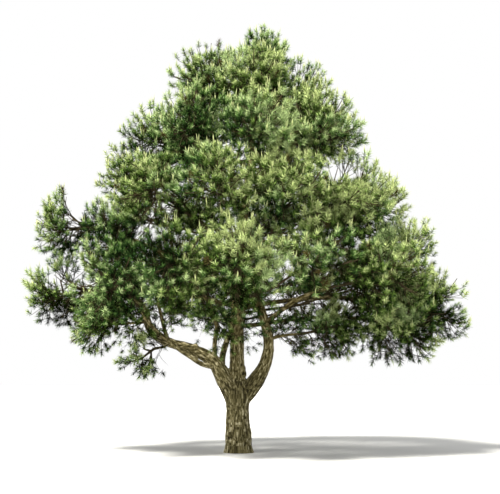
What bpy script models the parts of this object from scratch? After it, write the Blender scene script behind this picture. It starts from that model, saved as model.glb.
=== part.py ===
"""Open-grown pine tree: a forked trunk, its boughs and the masses of needles that they carry.

Metres, +Z up. The origin is the middle of the flat cut under the trunk, on level ground.
The tree is seen from the front along +Y, with +X to the right.
"""

import math
import random

import bmesh
import bpy
from mathutils import Matrix, Vector

SEED = 27
GAP = 0.0003

# The trunk from the ground to its tip: height, sideways lean and radius.
TRUNK = (
    (0.00, 0.000, 0.338),
    (0.10, 0.000, 0.308),
    (0.28, -0.008, 0.292),
    (0.42, -0.012, 0.293),
    (0.62, -0.020, 0.272),
    (0.89, -0.028, 0.252),
    (1.08, -0.026, 0.272),
    (1.22, -0.022, 0.302),
    (1.42, -0.034, 0.250),
    (1.65, -0.042, 0.192),
    (2.10, -0.042, 0.166),
    (3.10, -0.034, 0.150),
    (4.30, 0.020, 0.126),
    (5.60, 0.140, 0.098),
    (7.00, 0.300, 0.070),
    (8.20, 0.440, 0.042),
    (8.95, 0.520, 0.026),
)

# Each bough: name, what it grows from, radius at its root, radius at its tip, and its bends.
BOUGHS = (
    ("left_limb_lower", "trunk", 0.196, 0.112,
     ((-0.06, 0.00, 1.08), (-0.24, -0.04, 1.46), (-0.42, -0.07, 1.80), (-0.62, -0.09, 2.06),
      (-1.08, -0.12, 2.28), (-1.42, -0.13, 2.38))),
    ("left_limb_upper", "left_limb_lower", 0.111, 0.072,
     ((-1.42, -0.13, 2.38), (-1.73, -0.13, 2.50), (-1.98, -0.13, 2.70), (-2.10, -0.12, 2.98),
      (-2.22, -0.10, 3.28), (-2.55, -0.08, 3.52), (-2.90, -0.08, 3.62))),
    ("left_twin_limb", "left_limb_lower", 0.060, 0.044,
     ((-0.46, -0.08, 1.86), (-0.80, -0.25, 1.94), (-1.05, -0.37, 2.09), (-1.32, -0.46, 2.27),
      (-1.64, -0.64, 2.52), (-1.95, -0.92, 2.82), (-2.08, -1.16, 3.06))),
    ("left_upright_shoot", "left_limb_lower", 0.058, 0.040,
     ((-0.54, -0.12, 2.00), (-0.54, -0.22, 2.40), (-0.49, -0.44, 2.76), (-0.58, -0.92, 3.10),
      (-0.72, -1.42, 3.36))),
    ("left_inner_shoot", "left_limb_upper", 0.048, 0.034,
     ((-1.60, -0.13, 2.45), (-1.70, -0.13, 2.80), (-1.78, -0.15, 3.12), (-1.90, -0.20, 3.62))),
    ("left_back_stem", "left_limb_lower", 0.078, 0.040,
     ((-0.36, -0.02, 1.74), (-0.38, 0.16, 2.10), (-0.29, 0.30, 2.46), (-0.20, 0.50, 2.82),
      (-0.46, 1.05, 3.30), (-0.82, 1.62, 3.66))),
    ("left_hanging_shoot", "left_limb_upper", 0.030, 0.022,
     ((-1.56, -0.15, 2.42), (-1.66, -0.30, 2.33), (-1.78, -0.40, 2.30))),
    ("left_under_shoot", "left_limb_upper", 0.034, 0.024,
     ((-2.06, -0.13, 2.90), (-2.30, -0.28, 2.86), (-2.52, -0.38, 2.84))),
    ("left_lobe_bough", "trunk", 0.070, 0.044,
     ((-0.02, 0.02, 3.70), (-0.90, 0.04, 4.02), (-1.90, 0.02, 4.55), (-2.95, -0.04, 5.00))),
    ("left_far_bough", "trunk", 0.060, 0.038,
     ((-0.04, 0.03, 3.25), (-0.95, 0.70, 3.52), (-1.90, 1.12, 3.74))),
    ("right_limb_lower", "trunk", 0.176, 0.125,
     ((0.02, 0.00, 1.08), (0.24, -0.04, 1.38), (0.45, -0.07, 1.68), (0.60, -0.09, 1.98),
      (0.67, -0.10, 2.27))),
    ("right_limb_upper", "right_limb_lower", 0.124, 0.070,
     ((0.67, -0.10, 2.27), (0.66, -0.11, 2.58), (0.58, -0.12, 2.90), (0.49, -0.14, 3.20),
      (0.42, -0.18, 3.55), (0.48, -0.42, 4.05), (0.66, -0.85, 4.62))),
    ("right_rising_branch", "right_limb_upper", 0.058, 0.040,
     ((0.59, -0.12, 2.84), (0.98, -0.32, 3.16), (1.42, -0.58, 3.42), (1.95, -0.86, 3.58))),
    ("right_long_branch", "trunk", 0.054, 0.030,
     ((-0.04, 0.02, 2.80), (0.45, 0.24, 2.86), (1.30, 0.26, 2.98), (2.20, -0.02, 3.02),
      (2.75, -0.22, 2.96))),
    ("right_low_branch", "right_limb_upper", 0.040, 0.026,
     ((0.66, -0.11, 2.50), (0.98, -0.20, 2.58), (1.38, -0.26, 2.62))),
    ("right_far_bough", "trunk", 0.062, 0.038,
     ((-0.02, 0.03, 3.22), (1.10, 0.40, 3.42), (2.20, 0.48, 3.50), (3.05, 0.36, 3.46))),
    ("back_bough", "trunk", 0.060, 0.038,
     ((-0.02, 0.04, 3.16), (0.04, 0.95, 3.64), (0.14, 1.90, 4.12))),
    ("front_bough", "trunk", 0.060, 0.038,
     ((-0.01, -0.02, 3.50), (0.02, -0.90, 3.66), (0.03, -1.80, 3.74))),
)
THICK_BOUGH = 0.08
TRUNK_SIDES = 12
THICK_SIDES = 8
THIN_SIDES = 6
JOINT_LENGTH = 0.08
SHARP_ANGLE = math.radians(62)

# Each mass of needles: name, the middle of its space, half its width, and what holds it.
MASSES = (
    ("top_needles", 0.64, 0.00, 9.29, 0.70, "trunk_tip"),
    ("top_left_needles", -0.66, -0.10, 8.50, 1.14, "trunk"),
    ("top_right_needles", 1.27, 0.05, 8.22, 1.08, "trunk"),
    ("top_front_needles", 0.35, -1.10, 8.10, 1.05, "trunk"),
    ("top_back_needles", 0.40, 1.10, 8.25, 1.05, "trunk"),
    ("upper_left_needles", -1.74, -0.05, 7.08, 1.12, "trunk"),
    ("upper_front_left_needles", -0.90, -1.60, 6.95, 1.12, "trunk"),
    ("upper_front_needles", 0.50, -2.05, 6.75, 1.10, "trunk"),
    ("upper_front_right_needles", 1.75, -1.35, 6.95, 1.10, "trunk"),
    ("upper_right_needles", 1.80, 0.25, 7.28, 1.08, "trunk"),
    ("upper_back_right_needles", 1.00, 1.90, 7.00, 1.18, "trunk"),
    ("upper_back_left_needles", -0.90, 1.70, 7.15, 1.18, "trunk"),
    ("middle_left_needles", -2.20, -0.35, 6.18, 1.13, "trunk"),
    ("middle_front_left_needles", -1.65, -1.95, 5.45, 1.18, "trunk"),
    ("middle_front_needles", -0.30, -2.65, 5.40, 1.12, "trunk"),
    ("middle_front_right_needles", 1.00, -2.35, 5.45, 1.15, "right_limb_upper"),
    ("middle_right_front_needles", 2.30, -1.50, 5.45, 1.18, "trunk"),
    ("middle_right_needles", 2.98, 0.15, 5.44, 1.12, "trunk"),
    ("middle_right_back_needles", 2.15, 1.80, 5.60, 1.18, "trunk"),
    ("middle_back_needles", 0.60, 2.60, 5.60, 1.18, "trunk"),
    ("middle_back_left_needles", -0.95, 2.35, 5.60, 1.18, "trunk"),
    ("middle_left_back_needles", -2.25, 1.35, 5.55, 1.18, "trunk"),
    ("left_lobe_needles", -3.94, -0.15, 5.04, 0.98, "left_lobe_bough"),
    ("left_inner_needles", -2.80, -0.60, 4.78, 1.05, "left_inner_shoot"),
    ("right_shoulder_needles", 3.62, -0.15, 4.50, 1.06, "trunk"),
    ("low_left_needles", -3.98, -0.10, 3.52, 1.02, "left_limb_upper"),
    ("low_left_front_needles", -2.62, -1.80, 3.52, 1.18, "left_twin_limb"),
    ("low_front_left_needles", -1.20, -2.50, 3.82, 1.15, "left_upright_shoot"),
    ("low_front_needles", 0.02, -2.85, 3.84, 1.18, "front_bough"),
    ("low_front_right_needles", 1.60, -2.35, 4.08, 1.18, "trunk"),
    ("low_right_front_needles", 2.95, -1.55, 3.72, 1.20, "right_rising_branch"),
    ("low_right_needles", 4.22, 0.20, 3.30, 1.22, "right_far_bough"),
    ("low_right_back_needles", 3.05, 1.75, 4.00, 1.20, "trunk"),
    ("low_back_right_needles", 1.75, 2.40, 3.70, 1.20, "trunk"),
    ("low_back_needles", 0.15, 2.95, 4.25, 1.18, "back_bough"),
    ("low_back_left_needles", -1.40, 2.55, 4.05, 1.18, "left_back_stem"),
    ("low_left_back_needles", -2.95, 1.50, 3.85, 1.20, "left_far_bough"),
    ("left_under_needles", -3.08, -0.45, 2.82, 0.88, "left_under_shoot"),
    ("left_hanging_needles", -2.13, -0.60, 2.06, 0.66, "left_hanging_shoot"),
    ("right_under_needles", 3.46, -0.65, 2.76, 1.10, "right_long_branch"),
    ("right_inner_needles", 2.12, -0.30, 2.76, 0.92, "right_low_branch"),
)
UNDERSIDE = 0.78
SPACE_BETWEEN = 0.03
LIMB_CLEARANCE = 0.035

# The rule that fills a mass: twigs from its stem, and sprays of needles on each twig.
STEM_RISE = 0.26
STEM_SAG = 0.05
STEM_LIFT = 0.35
STEM_START = 0.12
STEM_RADIUS = 0.034
TWIG_RADIUS = 0.026
TWIG_TIP_RADIUS = 0.016
TWIGS = 3
TWIG_TRIES = 12
TWIG_REACH = 0.34
TWIG_LEAST = 0.20
SPRAYS = 3
SPRAY_TRIES = 5
SPRAY_LENGTHS = (1.15, 1.05, 0.95, 0.85, 0.75, 0.65, 0.55, 0.45)
SPRAY_SPREAD = math.radians(62)
SPRAY_SWING = 0.2
SPRAY_LIFT = 0.22
SPRAY_SUNK = 0.06
SPRAY_STEP = 0.10
SPRAY_CROWDING = 0.80

# A spray one unit long: where its core is widest, how wide, and where its side spikes reach.
CORE_START = 0.36
CORE_RADIUS = 0.17
SPIKE_HEIGHT = 0.78
SPIKE_REACH = 0.42
SPRAY_WIDTHS = ((0.30, 0.14), (0.55, 0.26), (SPIKE_HEIGHT, SPIKE_REACH), (1.0, 0.0))

COLOURS = {
    "bark": ((0.23, 0.17, 0.12, 1.0), 0.9),
    "needles": ((0.17, 0.27, 0.09, 1.0), 0.75),
}


def clear_scene():
    for item in list(bpy.data.objects):
        bpy.data.objects.remove(item, do_unlink=True)


def new_collection(name):
    collection = bpy.data.collections.new(name)
    bpy.context.scene.collection.children.link(collection)
    return collection


def new_material(name):
    colour, roughness = COLOURS[name]
    material = bpy.data.materials.new(name)
    material.use_nodes = True
    shader = material.node_tree.nodes["Principled BSDF"]
    shader.inputs["Base Color"].default_value = colour
    shader.inputs["Roughness"].default_value = roughness
    shader.inputs["Metallic"].default_value = 0.0
    return material


def smooth_line(bends, steps):
    """A smooth line through the bends, with this many straight steps between two of them."""
    bends = [Vector(bend) for bend in bends]
    ends = [2 * bends[0] - bends[1], *bends, 2 * bends[-1] - bends[-2]]
    line = [bends[0]]
    for a, b, c, d in zip(ends, ends[1:], ends[2:], ends[3:]):
        for step in range(1, steps + 1):
            t = step / steps
            line.append(0.5 * (2 * b + (c - a) * t + (2 * a - 5 * b + 4 * c - d) * t * t
                               + (3 * b - a - 3 * c + d) * t ** 3))
    return line


def even_taper(line, first, last):
    """A radius for each point of the line, from first to last by the length run."""
    run = [0.0]
    for a, b in zip(line, line[1:]):
        run.append(run[-1] + (b - a).length)
    return [first + (last - first) * length / run[-1] for length in run]


class Limb:
    """A tapering limb: its middle line, a radius at each point, and how many sides it has."""

    def __init__(self, name, line, radii, sides):
        self.name = name
        self.line = line
        self.radii = radii
        self.sides = sides

    def tip_direction(self):
        return (self.line[-1] - self.line[-2]).normalized()

    def at_height(self, height):
        for a, b in zip(self.line, self.line[1:]):
            if a.z <= height <= b.z:
                return a.lerp(b, (height - a.z) / (b.z - a.z))
        return self.line[-1]

    def clear_of(self, point, room):
        """Whether a ball of this size at the point keeps off the limb."""
        for a, b, radius in zip(self.line, self.line[1:], self.radii):
            course = b - a
            part = max(0.0, min(1.0, (point - a).dot(course) / course.length_squared))
            if (point - a - course * part).length < radius + room + LIMB_CLEARANCE:
                return False
        return True


class Space:
    """The room of one mass: a ball, flatter below, parted from its neighbours by flat walls."""

    def __init__(self, name, x, y, z, size, holder):
        self.name = name
        self.middle = Vector((x, y, z))
        self.size = size
        self.holder = holder

    def nearness(self, point):
        return (point - self.middle).length_squared - self.size ** 2

    def holds(self, point, spaces):
        here = self.nearness(point)
        if here > 0.0 or self.middle.z - point.z > UNDERSIDE * self.size:
            return False
        for other in spaces:
            if other is not self:
                wall = 2 * (other.middle - self.middle).length
                if (other.nearness(point) - here) / wall < SPACE_BETWEEN:
                    return False
        return True


def trunk_limb():
    line = [Vector((lean, 0, height)) for height, lean, radius in TRUNK]
    return Limb("trunk", line, [radius for height, lean, radius in TRUNK], TRUNK_SIDES)


def bough_limb(name, parent, first, last, bends):
    """A bough from inside its parent, or on from its parent's tip with the gap between."""
    thick = first > THICK_BOUGH
    line = smooth_line(bends, 2 if thick else 1)
    if carries_on(parent, line):
        ahead = parent.tip_direction()
        line = [line[0] + GAP * ahead, line[0] + JOINT_LENGTH * ahead, *line[1:]]
    return Limb(name, line, even_taper(line, first, last), THICK_SIDES if thick else THIN_SIDES)


def carries_on(parent, line):
    return (parent.line[-1] - line[0]).length < 2 * GAP


def stem_limb(space, limbs):
    """A mass's stem, from the trunk or on from its bough's tip to past the middle of its space."""
    middle = space.middle
    if space.holder == "trunk":
        away = middle.xy.length
        foot = limbs["trunk"].at_height(middle.z - STEM_RISE * away)
        bends = [foot, foot.lerp(middle, 0.5) - Vector((0, 0, STEM_SAG * away)), middle]
    else:
        holder = limbs["trunk" if space.holder == "trunk_tip" else space.holder]
        tip = holder.line[-1]
        ahead = holder.tip_direction()
        bends = [tip + GAP * ahead, tip + STEM_START * ahead, middle]
    out = (middle - bends[-2]).normalized() + Vector((0, 0, STEM_LIFT))
    bends.append(middle + out.normalized() * TWIG_REACH * space.size)
    return Limb(space.name, bends, even_taper(bends, STEM_RADIUS, TWIG_TIP_RADIUS), 3)


def even_direction(number):
    """The directions of an endless even spread over a ball that is flatter below."""
    up = 1 - 2 * ((0.5 + number * 0.7548777) % 1.0)
    turn = math.tau * ((number * 0.5698403) % 1.0)
    level = math.sqrt(1 - up * up)
    return Vector((level * math.cos(turn), level * math.sin(turn), up if up > 0 else UNDERSIDE * up))


def twig_side(foot, tip, number):
    """The direction that one of a twig's three sides faces."""
    turn = math.radians(30 + 120 * number)
    return (tip - foot).to_track_quat("Z", "Y") @ Vector((math.cos(turn), math.sin(turn), 0))


def spray_spots(foot, tip):
    """Points along a spray, with the room that it takes at each."""
    length = (tip - foot).length
    return [(foot.lerp(tip, part), width * length) for part, width in SPRAY_WIDTHS]


def spray_fits(space, spaces, limbs, taken, foot, tip):
    """Whether a spray keeps to its space, off every limb, and off the sprays placed before."""
    course = (tip - foot).normalized()
    across = course.orthogonal().normalized()
    spots = spray_spots(foot, tip)
    widest, reach = spots[-2]
    rim = [widest + reach * (Matrix.Rotation(turn * math.tau / 6, 3, course) @ across) for turn in range(6)]
    if not all(space.holds(point, spaces) for point in [tip, *rim]):
        return False
    for spot, room in spots:
        if not all(limb.clear_of(spot, room) for limb in limbs.values() if limb.name != space.name):
            return False
    return all((spot - other).length > SPRAY_CROWDING * (room + width)
               for spot, room in spots[1:] for other, width in taken)


def sprays_on(space, spaces, limbs, taken, start, end, chance):
    """Sprays on one twig, out to the edge of the space: one from its tip, the others to its sides."""
    placed = []
    ahead = (end - start).normalized()
    first_side = chance.randrange(3)
    for number in range(SPRAYS):
        foot = end - ahead * (number * SPRAY_STEP + SPRAY_SUNK)
        roll = chance.uniform(0, math.tau)
        courses = []
        for attempt in range(SPRAY_TRIES):
            spread = SPRAY_SPREAD if number else SPRAY_SWING * attempt
            away = twig_side(start, end, first_side + number + attempt)
            course = ahead * math.cos(spread) + away * math.sin(spread)
            if number == 0:
                course += Vector((0, 0, SPRAY_LIFT))
            courses.append(course.normalized())
        tips = [foot + course * length for length in SPRAY_LENGTHS for course in courses]
        for tip in tips:
            if spray_fits(space, spaces, limbs, taken, foot, tip):
                placed.append((foot, tip, roll))
                taken += spray_spots(foot, tip)[1:]
                break
    return placed


def grow_mass(space, spaces, limbs):
    """The ends of the twigs and sprays of one mass."""
    chance = random.Random(f"{SEED} {space.name}")
    stem = limbs[space.name].line
    line = smooth_line(stem[-3:], 4)
    taken = []
    twigs = []
    sprays = sprays_on(space, spaces, limbs, taken, stem[-2], stem[-1], chance)
    for number in range(TWIG_TRIES):
        if len(twigs) == TWIGS:
            break
        tip = space.middle + even_direction(number) * TWIG_REACH * space.size
        nearest = min(range(len(line)), key=lambda step: (line[step] - tip).length)
        foot = line[max(1, nearest - 2)]
        if (tip - foot).length < TWIG_LEAST * space.size or not space.holds(tip, spaces):
            continue
        if not all(limb.clear_of(foot.lerp(tip, part), TWIG_RADIUS) for part in (0.0, 0.5, 1.0)
                   for limb in limbs.values() if limb.name != space.name):
            continue
        found = sprays_on(space, spaces, limbs, taken, foot, tip, chance)
        if found:
            twigs.append((foot, tip))
            sprays += found
    return twigs, sprays


def outline(sides):
    """A regular outline one unit in radius, which a limb's line is bevelled with."""
    curve = bpy.data.curves.new("outline", "CURVE")
    curve.dimensions = "2D"
    spline = curve.splines.new("POLY")
    spline.points.add(sides - 1)
    spline.use_cyclic_u = True
    for number, point in enumerate(spline.points):
        turn = math.tau * number / sides
        point.co = (math.cos(turn), math.sin(turn), 0, 1)
    return bpy.data.objects.new("outline", curve)


def add_limb(limb, collection, swell=0.0):
    """The limb as a mesh with flat ends, from a bevelled curve, swollen by a little where asked."""
    curve = bpy.data.curves.new(limb.name, "CURVE")
    profile = outline(limb.sides)
    curve.dimensions = "3D"
    curve.bevel_mode = "OBJECT"
    curve.bevel_object = profile
    curve.use_fill_caps = True
    spline = curve.splines.new("POLY")
    spline.points.add(len(limb.line) - 1)
    for point, place, radius in zip(spline.points, limb.line, limb.radii):
        point.co = (*place, 1.0)
        point.radius = radius + swell
    guide = bpy.data.objects.new("guide", curve)
    collection.objects.link(guide)
    graph = bpy.context.evaluated_depsgraph_get()
    mesh = bpy.data.meshes.new_from_object(guide.evaluated_get(graph))
    outline_curve = profile.data
    bpy.data.objects.remove(guide, do_unlink=True)
    bpy.data.objects.remove(profile, do_unlink=True)
    bpy.data.curves.remove(curve)
    bpy.data.curves.remove(outline_curve)
    shape = bmesh.new()
    shape.from_mesh(mesh)
    bmesh.ops.remove_doubles(shape, verts=shape.verts, dist=0.00001)
    bmesh.ops.recalc_face_normals(shape, faces=shape.faces)
    shape.to_mesh(mesh)
    shape.free()
    mesh.name = limb.name
    piece = bpy.data.objects.new(limb.name, mesh)
    collection.objects.link(piece)
    return piece


def spray_mesh():
    """A spray of needles one unit long up +Z: a slim three-sided core with a spike on each side."""
    shape = bmesh.new()
    bmesh.ops.create_cone(shape, cap_ends=True, segments=3, radius1=CORE_RADIUS, radius2=0.0,
                          depth=1.0 - CORE_START,
                          matrix=Matrix.Translation((0, 0, (1.0 + CORE_START) / 2)))
    shape.normal_update()
    sides = [face for face in shape.faces if face.normal.z > -0.5]
    base = [face for face in shape.faces if face.normal.z <= -0.5]
    for spike in bmesh.ops.poke(shape, faces=sides)["verts"]:
        spike.co.z = 0
        spike.co = spike.co.normalized() * SPIKE_REACH + Vector((0, 0, SPIKE_HEIGHT))
    for foot in bmesh.ops.poke(shape, faces=base)["verts"]:
        foot.co = (0, 0, 0)
    bmesh.ops.recalc_face_normals(shape, faces=shape.faces)
    mesh = bpy.data.meshes.new("spray")
    shape.to_mesh(mesh)
    shape.free()
    return mesh


def standing_on(foot, tip, roll=0.0):
    """The placement that turns a shape's +Z from foot towards tip."""
    turn = (tip - foot).to_track_quat("Z", "Y").to_matrix().to_4x4()
    return Matrix.Translation(foot) @ turn @ Matrix.Rotation(roll, 4, "Z")


def add_spray(foot, tip, roll, spray, collection):
    mesh = spray.copy()
    mesh.transform(standing_on(foot, tip, roll) @ Matrix.Scale((tip - foot).length, 4))
    collection.objects.link(bpy.data.objects.new("spray", mesh))


def add_twig(foot, tip, collection):
    """A straight three-sided twig."""
    length = (tip - foot).length
    shape = bmesh.new()
    bmesh.ops.create_cone(shape, cap_ends=True, segments=3, radius1=TWIG_RADIUS,
                          radius2=TWIG_TIP_RADIUS, depth=length,
                          matrix=standing_on(foot, tip) @ Matrix.Translation((0, 0, length / 2)))
    mesh = bpy.data.meshes.new("twig")
    shape.to_mesh(mesh)
    shape.free()
    collection.objects.link(bpy.data.objects.new("twig", mesh))


def bodies_of(shape):
    """The separate bodies of a bmesh, each a list of its points."""
    bodies = []
    seen = set()
    for start in shape.verts:
        if start in seen:
            continue
        seen.add(start)
        body = [start]
        for point in body:
            for edge in point.link_edges:
                other = edge.other_vert(point)
                if other not in seen:
                    seen.add(other)
                    body.append(other)
        bodies.append(body)
    return bodies


def breadth(body):
    """How far a body reaches, summed over the three axes."""
    return sum(max(point.co[axis] for point in body) - min(point.co[axis] for point in body)
               for axis in range(3))


def keep_widest_body(mesh):
    """Drops loose scraps and fills sealed hollows. True when what stays is one closed body."""
    shape = bmesh.new()
    shape.from_mesh(mesh)
    for body in sorted(bodies_of(shape), key=breadth)[:-1]:
        bmesh.ops.delete(shape, geom=body, context="VERTS")
    shape.to_mesh(mesh)
    closed = bool(shape.faces) and all(edge.is_manifold for edge in shape.edges)
    closed = closed and all(point.is_manifold for point in shape.verts)
    shape.free()
    return closed


def boolean(target, others, operation):
    """Joins or cuts the target by a collection. True when the result is one closed body."""
    for solver in ("EXACT", "MANIFOLD"):
        modifier = target.modifiers.new("boolean", "BOOLEAN")
        modifier.operation = operation
        modifier.operand_type = "COLLECTION"
        modifier.collection = others
        modifier.solver = solver
        graph = bpy.context.evaluated_depsgraph_get()
        mesh = bpy.data.meshes.new_from_object(target.evaluated_get(graph))
        target.modifiers.remove(modifier)
        if keep_widest_body(mesh):
            whole = target.data
            target.data = mesh
            bpy.data.meshes.remove(whole)
            mesh.name = target.name
            return True
        bpy.data.meshes.remove(mesh)
    return False


def empty_out(collection):
    for item in list(collection.objects):
        mesh = item.data
        bpy.data.objects.remove(item, do_unlink=True)
        bpy.data.meshes.remove(mesh)


def split_faces(piece):
    """Splits a limb's twisted four-sided faces one way, so that a swollen copy's lie parallel."""
    shape = bmesh.new()
    shape.from_mesh(piece.data)
    bmesh.ops.triangulate(shape, faces=shape.faces, quad_method="FIXED")
    shape.to_mesh(piece.data)
    shape.free()


def cut_clear(piece, owners, helpers):
    """Cuts a piece back to the gap off the limbs that its root is sunk in."""
    for owner in owners:
        split_faces(add_limb(owner, helpers, GAP))
    boolean(piece, helpers, "DIFFERENCE")
    empty_out(helpers)


def finish_limb(piece, bark):
    """Gives a limb its bark, with round sides that look round and crisp ends."""
    piece.data.materials.clear()
    piece.data.materials.append(bark)
    piece.data.shade_smooth()
    piece.data.set_sharp_from_angle(angle=SHARP_ANGLE)


def add_boughs(limbs, tree, helpers, bark):
    for name, parent, first, last, bends in BOUGHS:
        bough = bough_limb(name, limbs[parent], first, last, bends)
        piece = add_limb(bough, tree)
        split_faces(piece)
        if not carries_on(limbs[parent], bough.line):
            owners = [limbs[owner] for owner in limbs if owner in ("trunk", "left_limb_lower", parent)]
            cut_clear(piece, owners, helpers)
        finish_limb(piece, bark)
        limbs[name] = bough


def add_mass(space, spaces, limbs, spray, tree, helpers, needles):
    """One mass: its stem, with its twigs and sprays joined on. Where that fails it gets fewer sprays."""
    piece = add_limb(limbs[space.name], tree)
    if space.holder == "trunk":
        cut_clear(piece, [limbs["trunk"]], helpers)
    twigs, sprays = grow_mass(space, spaces, limbs)
    joined = False
    while sprays and not joined:
        for foot, tip in twigs:
            add_twig(foot, tip, helpers)
        for foot, tip, roll in sprays:
            add_spray(foot, tip, roll, spray, helpers)
        joined = boolean(piece, helpers, "UNION")
        empty_out(helpers)
        sprays.pop()
    piece.data.materials.clear()
    piece.data.materials.append(needles)


def main():
    clear_scene()
    tree = new_collection("pine_tree")
    helpers = new_collection("helpers")
    bark = new_material("bark")
    needles = new_material("needles")

    limbs = {"trunk": trunk_limb()}
    finish_limb(add_limb(limbs["trunk"], tree), bark)
    add_boughs(limbs, tree, helpers, bark)

    spaces = [Space(*row) for row in MASSES]
    limbs.update({space.name: stem_limb(space, limbs) for space in spaces})
    spray = spray_mesh()
    for space in spaces:
        add_mass(space, spaces, limbs, spray, tree, helpers, needles)
    bpy.data.meshes.remove(spray)


main()
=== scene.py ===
"""Looks of an open-grown pine: furrowed bark, twigs, tufts of needles and pale upright candles.

Metres, +Z up, seen from the front along +Y. The limbs and the spaces that the needles fill
are those of the plain model, and every spray of it is carried on here to its finer twigs.
"""

import math
import random

import bpy
import numpy as np
from mathutils import Matrix, Vector, noise


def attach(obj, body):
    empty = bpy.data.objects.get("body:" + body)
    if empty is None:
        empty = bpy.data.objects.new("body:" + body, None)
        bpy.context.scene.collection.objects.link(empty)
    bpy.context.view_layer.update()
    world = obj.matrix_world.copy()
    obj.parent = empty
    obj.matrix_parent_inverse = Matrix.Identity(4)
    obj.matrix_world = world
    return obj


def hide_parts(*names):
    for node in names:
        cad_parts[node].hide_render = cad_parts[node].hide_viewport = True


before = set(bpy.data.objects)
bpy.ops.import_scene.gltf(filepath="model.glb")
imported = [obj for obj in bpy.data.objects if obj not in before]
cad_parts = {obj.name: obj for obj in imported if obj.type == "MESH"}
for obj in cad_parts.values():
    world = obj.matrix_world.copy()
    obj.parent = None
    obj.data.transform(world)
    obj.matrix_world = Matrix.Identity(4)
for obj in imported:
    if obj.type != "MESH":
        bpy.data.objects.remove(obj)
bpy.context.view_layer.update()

SEED = 27
GAP = 0.0003

# The camera stands at eye height in front of the tree and looks up a little.
CAMERA_PLACE = (0.25, -20.0, 1.6)
CAMERA_PITCH = math.radians(8.596)
CAMERA_LENS = 63.23
CAMERA_SENSOR = 36

# A soft sun from the upper left in front, an even white sky and a pale floor.
SUN_STRENGTH = 9.5
SUN_COLOUR = (1.0, 0.97, 0.90)
SUN_WIDTH = math.radians(12)
SUN_TURN = (math.radians(34), 0.0, math.radians(-48))
SKY_COLOUR = (1.0, 1.0, 1.0)
FLOOR_COLOUR = (0.55, 0.55, 0.54)
FLOOR_SIZE = 400
FLOOR_ROUGHNESS = 0.9

# The trunk from the ground to its tip: height, sideways lean and radius.
TRUNK = (
    (0.00, 0.000, 0.338),
    (0.10, 0.000, 0.308),
    (0.28, -0.008, 0.292),
    (0.42, -0.012, 0.293),
    (0.62, -0.020, 0.272),
    (0.89, -0.028, 0.252),
    (1.08, -0.026, 0.272),
    (1.22, -0.022, 0.302),
    (1.42, -0.034, 0.250),
    (1.65, -0.042, 0.192),
    (2.10, -0.042, 0.166),
    (3.10, -0.034, 0.150),
    (4.30, 0.020, 0.126),
    (5.60, 0.140, 0.098),
    (7.00, 0.300, 0.070),
    (8.20, 0.440, 0.042),
    (8.95, 0.520, 0.026),
)

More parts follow.
